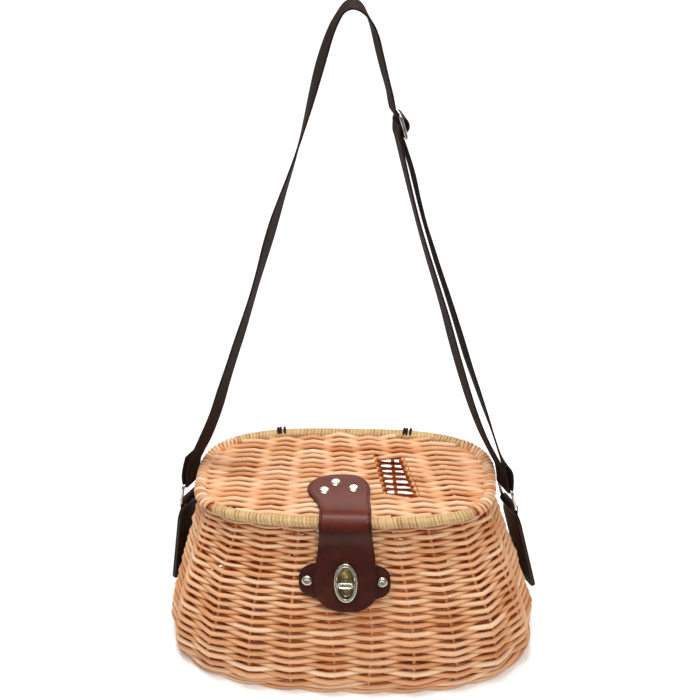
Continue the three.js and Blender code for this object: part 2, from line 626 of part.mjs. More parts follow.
function webbingCourse() {
  const rows = [];
  const barGap = 0.3 + WEB.thick / 2;
  const free = (side, list) => list.forEach(([u, v, turn]) =>
    rows.push({ p: courseAt(side, u, v), turn: turn * deg }));
  const beside = (side, list) => {
    // [outwards, up] from the ring's upper bar
    const { out, width } = sideAxes(side);
    const bar = new THREE.Vector3(side.bars[0], RING.y, ringTop);
    list.forEach(([n, z]) =>
      rows.push({ p: bar.clone().addScaledVector(out, n).addScaledVector(UP, z), w: width.clone() }));
  };
  const r = WIRE + barGap;
  const under = (from) => Array.from({ length: 7 }, (_, i) => {
    const a = i * 30 * deg; // from the outer side round to the inner side
    return [from * r * Math.cos(a), -r * Math.sin(a)];
  });
  beside(sides.left, [[-5.6, 36], [-1.8, 25], [1.6, 13], [2.7, 6], ...under(1), [-2.9, 7]]);
  free(sides.left, COURSE_LEFT);
  free(sides.right, COURSE_OVER);
  // through the slider: behind its upper bar, over its middle bar, behind its lower bar
  const f = sliderFrame();
  const place = (list) => list.forEach(([t, n]) => rows.push({
    p: f.centre.clone().addScaledVector(f.along, t).addScaledVector(f.out, n), w: f.w.clone(),
  }));
  place([
    [-15, -2.2], [-10, -2.5], [-7.7, -1.8], [-6.0, 0.8], [-4.2, 3.4], [-1.7, 4.5], [1.7, 4.5], [4.2, 3.4],
    [6.0, 0.8], [7.7, -1.8], [10, -2.5], [15, -2.0],
  ]);
  free(sides.right, COURSE_OUTER);
  beside(sides.right, [[0.8, 22], [2.5, 12], [2.7, 6], ...under(1), [-2.9, 7]]);
  free(sides.right, COURSE_INNER);
  place([[15, -4.9], [10, -5.0], [5.8, -4.1], [2.2, -2.9]]);
  place(Array.from({ length: 5 }, (_, i) => {
    const a = (-100 - i * 38) * deg;
    return [(BAR + barGap) * Math.cos(a), (BAR + barGap) * Math.sin(a)];
  }));
  return rows;
}

function webbing() {
  const rows = webbingCourse();
  const rings = rows.map(({ p, w, turn }, i) => {
    const t = rows[Math.min(rows.length - 1, i + 1)].p.clone().sub(rows[Math.max(0, i - 1)].p).normalize();
    if (!w) {
      // turned out of the course's plane, towards +x for a positive turn
      const flat = new THREE.Vector3().crossVectors(Y, t);
      if (flat.x < 0) flat.negate();
      w = Y.clone().multiplyScalar(Math.cos(turn)).addScaledVector(flat, Math.sin(turn));
    }
    const wide = w.clone().addScaledVector(t, -w.dot(t)).normalize();
    const n = new THREE.Vector3().crossVectors(t, wide);
    return [[-1, -1], [1, -1], [1, 1], [-1, 1]].map(([u, v]) => p.clone()
      .addScaledVector(wide, (u * WEB.width) / 2).addScaledVector(n, (v * WEB.thick) / 2).toArray());
  });
  return loft(rings);
}

function slider() {
  const { along, w, centre } = sliderFrame();
  const frame = wireLoop(centre, w, along, SLIDER.halfWidth, SLIDER.reach, 2.6, BAR);
  const bar = new THREE.CylinderGeometry(BAR, BAR, 2 * SLIDER.halfWidth, 12);
  bar.applyQuaternion(new THREE.Quaternion().setFromUnitVectors(Y, w));
  bar.translate(centre.x, centre.y, centre.z);
  return fromManifold(toManifold(frame).add(toManifold(bar)));
}

// ---------- assembly ----------
const material = (name, color, roughness, metalness = 0) => {
  const m = new THREE.MeshStandardMaterial({ color, roughness, metalness });
  m.name = name;
  return m;
};
const willow = () => material("willow", 0xe0b080, 0.55);
const cane = () => material("pale_cane", 0xe6d59c, 0.4);
const leather = () => material("leather", 0x4c211d, 0.38);
const tabLeather = () => material("dark_leather", 0x2b1a18, 0.5);
const nylon = () => material("webbing", 0x33221f, 0.8);
const metal = () => material("nickel", 0xc9c3a8, 0.25, 1);

const root = new THREE.Group();
root.name = "fishing_creel";
root.position.set(-APEX.x, -RING.y, -(APEX.rise - WEB.thick / 2));

function add(name, geometry, mat) {
  const mesh = new THREE.Mesh(geometry, mat);
  mesh.name = name;
  root.add(mesh);
}

const hingeX = HINGES.at.map((share) => share * lid.halfWidth);
const loopTools = hingeX.map((x) => hingeBand(x, 0.4, true));
const slot = SLOT.map(([u, v]) => [u * lid.halfWidth, v * lid.front]);
add("basket_wall", cut(basketWall(), ...loopTools), willow());
add("top_border", hoop(level(borderZ), borderZ, BORDER.height, BORDER.depth), willow());
add("foot_wale", hoop(level(waleZ), waleZ, WALE.height - 0.3, WALE.depth), willow());
add("basket_base", plate(outline(level(waleZ), WALE.depth + GAP), -HEIGHT, -HEIGHT + BASE_THICK), willow());
add("lid_rim", hoop(lidPlan, -RIM.height / 2, RIM.height, RIM.depth), cane());
add("lid_panel", cut(
  plate(outline(lidPlan, RIM.depth + GAP), LID_TOP - LID_THICK, LID_TOP),
  plate(slot, LID_TOP - 2 * LID_THICK, LID_TOP + LID_THICK), ...loopTools,
), willow());
hingeX.forEach((x, i) => add(["hinge_loop_left", "hinge_loop_right"][i], hingeBand(x), tabLeather()));

add("closure_ears", ears(), leather());
add("closure_flap", closureFlap(), leather());
add("lock_plate", lockPlate(), metal());
add("lock_post", lockPost(), metal());
add("lock_knob", lockKnob(), metal());
LID_RIVETS.forEach(([u, v], i) => add(
  `flap_rivet_${i + 1}`,
  dome(RIVET.radius, RIVET.height).translate(FLAP.x + u * FLAP.width, v * lid.front, LEATHER + 1.05), metal()));
[["ear_rivet_left", -1], ["ear_rivet_right", 1]].forEach(([name, sign]) => add(
  name,
  onPanel(dome(EAR.rivet, RIVET.height), EAR_X + sign * EAR_RIVET_X, PANEL_Z - 1, EAR.thick + 0.8),
  metal()));

for (const [name, side] of Object.entries(sides)) {
  add(`ring_${name}`, ringWire(side), metal());
  add(`side_tab_${name}`, sideTab(side), tabLeather());
  TAB_RIVETS.forEach((share, i) => add(`tab_rivet_${name}_${i + 1}`, tabRivet(side, share), metal()));
}
add("shoulder_strap", webbing(), nylon());
add("strap_slider", slider(), metal());

export default root;
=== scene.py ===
"""Willow fishing creel: woven basket and lid, leather closure with a turn lock, webbing shoulder strap.

Lengths in the functions are millimetres in basket coordinates: z = 0 at the lid's top, -Y the front.
put_mesh() moves them to the frame that the CAD part is in and turns them into metres.
"""

import bpy  # noqa: E402
import numpy as np  # noqa: E402
from mathutils import Matrix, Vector  # noqa: E402


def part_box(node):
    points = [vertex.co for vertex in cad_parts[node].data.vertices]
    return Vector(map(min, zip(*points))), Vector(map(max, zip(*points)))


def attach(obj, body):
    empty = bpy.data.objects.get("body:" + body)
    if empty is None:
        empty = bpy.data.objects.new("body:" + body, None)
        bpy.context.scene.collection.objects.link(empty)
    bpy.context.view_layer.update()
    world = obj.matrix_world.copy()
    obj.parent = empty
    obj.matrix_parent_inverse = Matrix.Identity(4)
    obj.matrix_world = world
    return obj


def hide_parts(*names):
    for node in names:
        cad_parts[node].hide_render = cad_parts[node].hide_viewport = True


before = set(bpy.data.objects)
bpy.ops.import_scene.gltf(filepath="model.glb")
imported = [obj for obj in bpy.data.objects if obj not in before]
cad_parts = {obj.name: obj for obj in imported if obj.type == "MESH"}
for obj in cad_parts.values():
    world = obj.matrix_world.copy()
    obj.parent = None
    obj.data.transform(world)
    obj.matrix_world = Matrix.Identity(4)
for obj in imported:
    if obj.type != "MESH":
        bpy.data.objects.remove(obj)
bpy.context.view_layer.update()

bl_info = {
    "name": "Fishing creel",
    "version": (1, 0, 0),
    "blender": (4, 5, 0),
    "location": "View3D > Sidebar > Creel",
    "description": "Woven willow fishing creel with leather and webbing fittings",
    "category": "Add Mesh",
}

# plan of the basket, as in the CAD part
ORIGIN = np.array([22.8, 20.0, 442.2])  # the frame's origin, under the top of the strap
HEIGHT, HALF_WIDTH, FRONT, BACK = 190.0, 175.0, 91.0, 80.6
LEVELS = np.array([
    # share of HEIGHT, then shares of HALF_WIDTH, FRONT and BACK, corner exponents in front and behind
    [-0.053, 0.754, 0.571, 0.881, 2.8, 2.8],
    [-0.274, 0.824, 0.699, 0.921, 2.9, 2.7],
    [-0.5, 0.899, 0.834, 0.963, 3.15, 2.65],
    [-0.711, 0.963, 0.945, 0.99, 3.1, 2.65],
    [-0.874, 1, 1, 1, 2.85, 2.65],
    [-0.958, 0.994, 0.996, 0.98, 2.7, 2.65],
    [-1, 0.971, 0.962, 0.937, 2.7, 2.65],
])
ROWS_TOP, ROWS_TALL = -20.0, 155.0  # from this height down over this much, the wall's rods grow thicker
RIM_HEIGHT, RIM_DEPTH = 9.0, 9.5
BORDER_Z, FOOT_Z = -14.25, -182.85
LEATHER = 3.0
PANEL_Y, PANEL_Z = -65.8823, -60.016  # the lock's middle on the front, which leans
PANEL_LEAN = np.radians(16.0637)
PANEL_UP = np.array([0, np.sin(PANEL_LEAN), np.cos(PANEL_LEAN)])
PANEL_OUT = np.array([0, -np.cos(PANEL_LEAN), np.sin(PANEL_LEAN)])
FLAP_X, FLAP_WIDTH, FLAP_DROP = 4.0, 56.4, 88.0
WINDOW, WINDOW_POWER = (7.5, 16.1), 2.1  # half width and height of the lock's window
SIDES = (("left", -1), ("right", 1))
X, Y, Z = np.eye(3)
TAU = 2 * np.pi


# arrays
def unit(v):
    """Each vector divided by its length."""
    return v / np.maximum(np.linalg.norm(v, axis=-1, keepdims=True), 1e-9)


def signed_power(x, power):
    """|x|^power with the sign of x."""
    return np.sign(x) * np.abs(x) ** power


def smooth_step(x, low, high):
    """0 below low, 1 above high, and 3t^2 - 2t^3 between."""
    t = np.clip((x - low) / (high - low), 0, 1)
    return t * t * (3 - 2 * t)


def quarter_round(t):
    """Height of a quarter circle over the share t of its radius, in from its foot."""
    return np.sqrt(np.maximum(0, 1 - (1 - np.clip(t, 0, 1)) ** 2))


def turn(count):
    """Cosines and sines of count even angles once round."""
    th = np.arange(count) / count * TAU
    return np.cos(th), np.sin(th)


def ripple(rng, rows, share, waves, fall=1.0):
    """Smooth random rows, periodic in share: a sum of sines of whole numbers of waves, the m-th divided
    by m^fall, scaled to about 1."""
    m = np.arange(1, waves + 1)
    phase = rng.uniform(0, TAU, (rows, waves, 1))
    size = rng.normal(0, 1, (rows, waves, 1)) / m[None, :, None] ** fall
    total = (size * np.sin(TAU * m[None, :, None] * np.asarray(share)[None, None, :] + phase)).sum(1)
    return total / np.sqrt((1 / m ** (2 * fall)).sum() / 2)


def hermite(t):
    """Weights of the first point and its slope, and of the second point and its slope, at share t."""
    return 2 * t**3 - 3 * t**2 + 1, t**3 - 2 * t**2 + t, 3 * t**2 - 2 * t**3, t**3 - t**2


def resample(points, count, closed=False):
    """The rows of points as count rows even in the length along the first three columns. With closed, the
    last row is the first again, and is left out of the result."""
    run = np.concatenate([[0], np.cumsum(np.linalg.norm(np.diff(points[:, :3], axis=0), axis=1))])
    at = np.linspace(0, run[-1], count + closed)[:count]
    return np.stack([np.interp(at, run, c) for c in points.T], 1)


def spline(points, count):
    """Catmull-Rom through the rows of points, as count even rows."""
    p = np.asarray(points, float)
    before = np.vstack([2 * p[0] - p[1], p[:-1]])
    after = np.vstack([p[1:], 2 * p[-1] - p[-2]])
    slope = (after - before) / 2
    t = np.linspace(0, 1, 17)[:-1, None]
    knots = (p[:-1], slope[:-1], p[1:], slope[1:])
    fine = sum(w[None] * a[:, None, :] for w, a in zip(hermite(t), knots))
    return resample(np.vstack([fine.reshape(-1, p.shape[1]), p[-1:]]), count)


def read_round(table, place):
    """Rows of a closed table at fractional places, by linear interpolation."""
    low = np.floor(place).astype(int) % len(table)
    share = (place - np.floor(place))[:, None]
    return table[low] * (1 - share) + table[(low + 1) % len(table)] * share


def level(z):
    """Half width, front, back and the two exponents at height z, Catmull-Rom through LEVELS."""
    h = z / HEIGHT
    last = len(LEVELS) - 1
    i = min(last - 1, int((LEVELS[1:, 0] > h).sum()))
    p = LEVELS[[max(0, i - 1), i, i + 1, min(last, i + 2)]]
    span = p[1, 0] - p[2, 0]
    t = min(1.0, max(0.0, (p[1, 0] - h) / span))
    slopes = [(p[k + 2] - p[k])[1:] / (p[k, 0] - p[k + 2, 0]) * span for k in (0, 1)]
    value = sum(w * v for w, v in zip(hermite(t), (p[1, 1:], slopes[0], p[2, 1:], slopes[1])))
    return value * [HALF_WIDTH, FRONT, BACK, 1, 1]


def normals_round(ring):
    """Outward normals of a closed plane curve that runs counter-clockwise."""
    t = unit(np.roll(ring, -1, 0) - np.roll(ring, 1, 0))
    return np.stack([t[:, 1], -t[:, 0]], 1)


def outline(plan, inset=0.0, count=720):
    """A plan's edge: x = a |cos|^(2/n), y = b |sin|^(2/n) with their signs, moved in along its normal and
    then even in length, counter-clockwise from the middle of the front. Gives points and outward normals."""
    a, front, back, n_front, n_back = plan
    th = -np.pi / 2 + np.arange(1440) / 1440 * TAU
    c, s = np.cos(th), np.sin(th)
    n = np.where(s < 0, n_front, n_back)
    b = np.where(s < 0, front, back)
    fine = np.stack([a * signed_power(c, 2 / n), b * signed_power(s, 2 / n)], 1)
    inner = fine - normals_round(fine) * inset
    p = resample(np.vstack([inner, inner[:1]]), count, closed=True)
    return p, normals_round(p)


def outline_at(plan, inset, count, z):
    """An outline's points and normals in space, at height z."""
    p, n = outline(plan, inset, count)
    return np.insert(p, 2, z, axis=1), np.insert(n, 2, 0.0, axis=1)


def lid_plan():
    """The lid's plan: the mouth's, wider by its overhang at the ends, in front and behind."""
    mouth = level(-10.0)
    return np.array([mouth[0] + 3.3, mouth[1] + 5.6, mouth[2] + 1.6, 2.97, 3.1])


def oval(half_width, half_height, count, power):
    """Points of |x/a|^n + |y/b|^n = 1, counter-clockwise."""
    c, s = turn(count)
    return np.stack([half_width * signed_power(c, 2 / power), half_height * signed_power(s, 2 / power)], 1)


def on_panel(points):
    """Points (x, up, lift) on the leaning front, with up measured from the lock's middle."""
    p = np.asarray(points, float)
    foot = np.array([0, PANEL_Y, PANEL_Z])
    return foot + p[..., :1] * X + p[..., 1:2] * PANEL_UP + p[..., 2:3] * PANEL_OUT


def rings_on_panel(rings, lifts):
    """Flat rings of points (x, up) on the leaning front, each at its own lift."""
    return on_panel([np.insert(ring, 2, lift, axis=1) for ring, lift in zip(rings, lifts)])


class Shell:
    """The middle surface of the wall as a table over height and share of the way round, read by linear
    interpolation between its cells."""

    def __init__(self, inset, top=-8.0, bottom=-190.0, rows=60, columns=720):
        self.z = np.linspace(top, bottom, rows)
        self.p = np.stack([outline(level(z), inset, columns)[0] for z in self.z])
        self.columns = columns
        around = np.roll(self.p, -1, 1) - np.roll(self.p, 1, 1)
        down = np.gradient(self.p, self.z, axis=0)
        self.n = unit(np.cross(np.insert(around, 2, 0.0, axis=2), np.insert(down, 2, 1.0, axis=2)))

    def at(self, z, share):
        """Point and outward normal at arrays of heights and shares."""
        z, share = np.broadcast_arrays(np.asarray(z, float), np.asarray(share, float))
        i = np.clip((z - self.z[0]) / (self.z[-1] - self.z[0]) * (len(self.z) - 1), 0, len(self.z) - 1.001)
        j = (share % 1.0) * self.columns
        i0, j0 = i.astype(int), j.astype(int) % self.columns
        fi, fj = (i - i0)[..., None], (j - np.floor(j))[..., None]
        j1 = (j0 + 1) % self.columns

        def read(table):
            low = table[i0, j0] * (1 - fj) + table[i0, j1] * fj
            high = table[i0 + 1, j0] * (1 - fj) + table[i0 + 1, j1] * fj
            return low * (1 - fi) + high * fi

        return np.concatenate([read(self.p), z[..., None]], -1), unit(read(self.n))


# meshes
def new_object(name, data):
    """A new object with that data, linked to the scene."""
    item = bpy.data.objects.new(name, data)
    bpy.context.scene.collection.objects.link(item)
    return item


def put_mesh(name, parts, material, node, body="creel"):
    """Puts arrays in basket millimetres into a new object in the part's frame, with a UV map in
    centimetres of surface and a tint attribute. It rides on its body and stands for a CAD node."""
    verts, faces, uv, tint = parts
    mesh = bpy.data.meshes.new(name)
    mesh.from_pydata(((verts - ORIGIN) / 1000).tolist(), [], faces)
    layer = mesh.uv_layers.new(name="UVMap")
    layer.data.foreach_set("uv", np.asarray(uv, np.float32).ravel())
    attribute = mesh.attributes.new("tint", "FLOAT", "POINT")
    attribute.data.foreach_set("value", np.broadcast_to(tint, len(verts)).astype(np.float32))
    mesh.polygons.foreach_set("use_smooth", np.ones(len(mesh.polygons), bool))
    mesh.update()
    mesh.materials.append(finish(material))
    piece = new_object(name, mesh)
    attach(piece, body)
    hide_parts(node)
    return piece


def grid_parts(grids, loop=False, tint=0.5, flip=False):
    """Quads over grids of (pieces, along, around) points, closed around and, with loop, along. Corners
    go (i, j), (i, j+1), (i+1, j+1), (i+1, j), which faces outwards where around goes counter-clockwise
    about the way along. Open ends get a cap. The UV map is (along, around) in centimetres."""
    r, n, s = grids.shape[:3]
    i = np.arange(n if loop else n - 1)
    index = np.arange(r * n * s).reshape(r, n, s)
    beside = np.roll(index, -1, 2)
    after = (i + 1) % n
    quads = np.stack([index[:, i], beside[:, i], beside[:, after], index[:, after]], -1).reshape(-1, 4)
    centre = grids.mean(2)
    step = np.linalg.norm(np.roll(centre, -1, 1) - centre, axis=-1)
    v = np.concatenate([np.zeros((r, 1)), np.cumsum(step, 1)], 1) / 10
    ring = np.linalg.norm(np.roll(grids, -1, 2) - grids, axis=-1)[:, 0]
    u = np.concatenate([np.zeros((r, 1)), np.cumsum(ring, 1)], 1) / 10
    v0, v1, u0, u1 = v[:, i, None], v[:, i + 1, None], u[:, None, :-1], u[:, None, 1:]
    corners = [np.broadcast_arrays(*pair) for pair in ((v0, u0), (v0, u1), (v1, u1), (v1, u0))]
    uv = np.stack([np.stack(corner, -1) for corner in corners], -2).reshape(-1, 4, 2)
    way = -1 if flip else 1
    faces = quads[:, ::way].tolist()
    uv = uv[:, ::way].reshape(-1, 2)
    if not loop:
        for piece in index:
            faces += [piece[0, ::-way].tolist(), piece[-1, ::way].tolist()]
        uv = np.vstack([uv, np.zeros((2 * r * s, 2))])
    return grids.reshape(-1, 3), faces, uv, np.broadcast_to(tint, (r, n, s)).ravel()


def joined(*parts):
    """Several meshes as one: vertices stacked, and face numbers moved on."""
    verts, faces, uvs, tints, start = [], [], [], [], 0
    for v, f, uv, tint in parts:
        verts.append(v)
        faces += [[k + start for k in face] for face in f]
        uvs.append(uv)
        tints.append(tint)
        start += len(v)
    return np.vstack(verts), faces, np.vstack(uvs), np.concatenate(tints)


def rods(paths, refs, radii, tint, sides=8, loop=False, hollow_shade=None, side_shade=0.0):
    """Round rods as one mesh: centre + radius * (cos a * one + sin a * two), where one is the reference
    direction made square to the path and two is square to both. A hollow shade of (middle, normal, low,
    high, fall) is painted shade: the tint falls by fall from where the surface stands high over the weave's
    middle down to low, where the weave's hollows lie in shade, and rises again below that, on the side
    turned inwards. A side shade is painted shade too: the tint falls by that much from a rod's crown to its
    sides, where it meets the next."""
    paths = np.asarray(paths, float)
    ahead = np.roll(paths, -1, 1) - np.roll(paths, 1, 1)
    if not loop:
        ahead[:, 0] = paths[:, 1] - paths[:, 0]
        ahead[:, -1] = paths[:, -1] - paths[:, -2]
    t = unit(ahead)
    refs = np.broadcast_to(refs, paths.shape)
    one = unit(refs - (refs * t).sum(-1, keepdims=True) * t)
    two = np.cross(t, one)
    c, s = (v[None, None, :, None] for v in turn(sides))
    radii = np.broadcast_to(radii, paths.shape[:2])[..., None]
    grids = paths[:, :, None] + radii[..., None] * (c * one[:, :, None] + s * two[:, :, None])
    tint = np.broadcast_to(tint, paths.shape[:2])[..., None]
    if hollow_shade is not None:
        middle, normal, low, high, fall = hollow_shade
        middle, normal = middle[..., None, :], normal[..., None, :]
        over = ((grids - middle) * normal).sum(-1)
        crown = ((grids - paths[:, :, None]) * normal).sum(-1)
        # painted shade: darker where the surface lies low in the weave's hollows, and along each rod's sides
        tint = tint - fall * (1 - smooth_step(over, low, high)) * smooth_step(over, low - 2, low + 0.5)
        tint = tint - side_shade * (1 - smooth_step(crown / radii, -0.2, 0.65))
    return grid_parts(grids, loop=loop, tint=tint)


# materials
def srgb(text):
    """An sRGB hex colour as linear RGBA."""
    value = np.array([int(text[k:k + 2], 16) for k in (1, 3, 5)]) / 255
    linear = np.where(value <= 0.04045, value / 12.92, ((value + 0.055) / 1.055) ** 2.4)
    return (*linear.tolist(), 1.0)


class Nodes:
    """A new material of one Principled shader, with a short call for each node that finishes share."""

    def __init__(self, name):
        self.material = bpy.data.materials.new(name)
        self.material.use_nodes = True
        self.material.node_tree.nodes.clear()
        self.shader = self.add("BsdfPrincipled")
        self.add("OutputMaterial", {"Surface": self.shader.outputs["BSDF"]}, is_active_output=True)

    def fill(self, node, inputs):
        """Fills a node's inputs with values or links them to sockets."""
        for key, value in inputs.items():
            if isinstance(value, bpy.types.NodeSocket):
                self.material.node_tree.links.new(value, node.inputs[key])
            else:
                node.inputs[key].default_value = value

    def add(self, kind, inputs=None, **settings):
        """Adds a node, sets its settings, and fills its inputs."""
        node = self.material.node_tree.nodes.new("ShaderNode" + kind)
        for key, value in settings.items():
            setattr(node, key, value)
        self.fill(node, inputs or {})
        return node

    def noise(self, scale, detail):
        """Cloudy noise with scale features a metre."""
        place = self.add("TexCoord").outputs["Object"]
        return self.add("TexNoise", {"Vector": place, "Scale": scale, "Detail": detail}).outputs["Fac"]

    def streaks(self, along, across, detail):
        """Noise drawn out along a rod: the UV map scaled differently along and across."""
        coord = self.add("UVMap", uv_map="UVMap").outputs["UV"]
        drawn = self.add("Mapping", {"Vector": coord, "Scale": (along, across, 1)}).outputs["Vector"]
        values = {"Vector": drawn, "Scale": 1.0, "Detail": detail, "Roughness": 0.6}
        return self.add("TexNoise", values).outputs["Fac"]

    def tint(self):
        """The shade that is stored with each vertex."""
        return self.add("Attribute", attribute_name="tint", attribute_type="GEOMETRY").outputs["Fac"]

    def mix(self, a, b, share):
        """a * (1 - share) + b * share for two values."""
        return self.add("Mix", {0: share, 2: a, 3: b}, data_type="FLOAT").outputs[0]

    def ramp(self, factor, stops):
        """A colour ramp through (position, hex colour) stops."""
        node = self.add("ValToRGB", {"Fac": factor})
        line = node.color_ramp
        while len(line.elements) < len(stops):
            line.elements.new(0.5)
        for element, (at, shade) in zip(line.elements, stops):
            element.position = at
            element.color = srgb(shade)
        return node.outputs["Color"]

    def spread(self, value, low, high):
        """A value of 0 to 1 spread over low to high."""
        return self.add("MapRange", {"Value": value, "To Min": low, "To Max": high}).outputs["Result"]

    def bump(self, height, strength, distance):
        """Small relief in metres."""
        values = {"Height": height, "Strength": strength, "Distance": distance}
        return self.add("Bump", values).outputs["Normal"]


def willow_material(name, hollow_shade, dark, mid, light, pale):
    """Peeled willow and split cane: smooth and satin without bark, with peach and brown streaks along
    buff rods, each of its own shade, or with olive ones along paler straw-yellow cane."""
    nodes = Nodes(name)
    fine = nodes.streaks(0.9, 9.0, 3.0)
    value = nodes.mix(nodes.tint(), nodes.streaks(0.18, 1.2, 2.0), 0.38)
    value = nodes.mix(value, fine, 0.3)
    # the first stop is the colour of the painted shade in the weave's hollows and in the cane's seams
    stops = [(0.02, hollow_shade), (0.22, dark), (0.42, mid), (0.6, light), (0.78, pale)]
    nodes.fill(nodes.shader, {
        "Base Color": nodes.ramp(value, stops), "Roughness": nodes.spread(fine, 0.4, 0.62),
        "Normal": nodes.bump(fine, 0.35, 0.0003), "Specular IOR Level": 0.32,
    })
    return nodes.material


def leather_material(name, dark, light, palest, roughness, gloss):
    """Smooth finished cowhide: fine pebbled grain of about 0.8 mm, paler where the tint is high, which on
    the flap is painted light where the lamps fall on the lid's top, darker along its creased edges. Polished
    it has a soft sheen, and dark it is nearly matte."""
    nodes = Nodes(name)
    cloud = nodes.noise(55.0, 4.0)
    place = nodes.add("TexCoord").outputs["Object"]
    grain = nodes.add("TexVoronoi", {"Vector": place, "Scale": 1300.0}).outputs["Distance"]
    value = nodes.mix(cloud, nodes.tint(), 0.6)
    nodes.fill(nodes.shader, {
        "Base Color": nodes.ramp(value, [(0.15, dark), (0.5, light), (0.85, palest)]),
        "Roughness": nodes.spread(cloud, roughness - 0.06, roughness + 0.08),
        "Normal": nodes.bump(grain, 0.12, 0.0002), "Specular IOR Level": gloss,
    })
    return nodes.material


def metal_material(name, dark, light, roughness):
    """Nickel plate with a warm cast, brass in the lock's sunk floor made darker as painted shade in that
    recess, and cooler plated wire: mirror-like with faint rubbing marks."""
    nodes = Nodes(name)
    cloud = nodes.noise(160.0, 5.0)
    nodes.fill(nodes.shader, {
        "Base Color": nodes.ramp(cloud, [(0.3, dark), (0.7, light)]), "Metallic": 1.0,
        "Roughness": nodes.spread(cloud, roughness - 0.06, roughness + 0.1),
    })
    return nodes.material


def webbing_material(name, dark, light):
    """Woven synthetic webbing with a dull face: sin(rib) * sin(thread), with ribs across its length every
    1.6 mm and warp threads along it every 1.5 mm."""
    nodes = Nodes(name)
    coord = nodes.add("UVMap", uv_map="UVMap").outputs["UV"]
    axes = nodes.add("SeparateXYZ", {"Vector": coord}).outputs
    waves = []
    for axis, spacing in (("X", 1.6), ("Y", 1.5)):
        angle = nodes.add("Math", {0: axes[axis], 1: TAU * 10 / spacing}, operation="MULTIPLY").outputs[0]
        waves.append(nodes.add("Math", {0: angle}, operation="SINE").outputs[0])
    both = nodes.add("Math", {0: waves[0], 1: waves[1]}, operation="MULTIPLY").outputs[0]
    height = nodes.add("MapRange", {"Value": both, "From Min": -1.0}).outputs["Result"]
    value = nodes.mix(nodes.noise(120.0, 3.0), height, 0.5)
    nodes.fill(nodes.shader, {
        "Base Color": nodes.ramp(value, [(0.2, dark), (0.85, light)]), "Roughness": 0.75,
        "Normal": nodes.bump(height, 0.5, 0.0004), "Specular IOR Level": 0.12,
    })
    return nodes.material


def paper_material(name):
    """Seamless pale paper under and behind the basket, quite matte."""
    nodes = Nodes(name)
    nodes.fill(nodes.shader, {"Base Color": srgb("#FDFDFC"), "Roughness": 0.9})
    return nodes.material


WILLOW_SHADES = ("hollow_shade", "dark", "mid", "light", "pale")
FINISHES = {
    # slot, function, first and last words of its colours' names, then its roughness and gloss
    "peeled_willow": ("willow", willow_material, "willow", WILLOW_SHADES),
    "split_cane": ("pale_cane", willow_material, "cane", WILLOW_SHADES),
    "polished_cowhide": ("leather", leather_material, "leather", ("dark", "light", "palest"), 0.3, 0.19),
    "dark_cowhide": ("dark_leather", leather_material, "tab", ("dark", "light", "palest"), 0.45, 0.15),
    "nickel_plate": ("nickel", metal_material, "nickel", ("dark", "light"), 0.26),
    "dulled_brass": ("nickel", metal_material, "brass", ("dark", "light"), 0.32),
    "plated_wire": ("nickel", metal_material, "wire", ("dark", "light"), 0.18),
    "woven_webbing": ("webbing", webbing_material, "webbing", ("dark", "light")),
    "paper": ("", paper_material, "", ()),
}


def finish(name):
    """The material of that name, made once from the colours in the settings."""
    if name not in bpy.data.materials:
        _, make, first, last, *values = FINISHES[name]
        colours = [getattr(bpy.context.scene.creel_colours, f"{first}_{word}") for word in last]
        make(name, *colours, *values)
    return bpy.data.materials[name]


# basket
def rod_tints(rng, rows, share, spread=0.17):
    """A shade for each rod, wandering a little along it."""
    return np.clip(0.5 + rng.normal(0, spread, (rows, 1)) + 0.07 * ripple(rng, rows, share, 5), 0.02, 0.98)


def weave(q, stiff=0.4):
    """In front at even whole q, behind at odd: a cosine, and a share stiff of a triangle wave."""
    c = np.cos(np.pi * q)
    return (1 - stiff) * c + stiff * (2 / np.pi) * np.arcsin(np.clip(c, -0.995, 0.995))


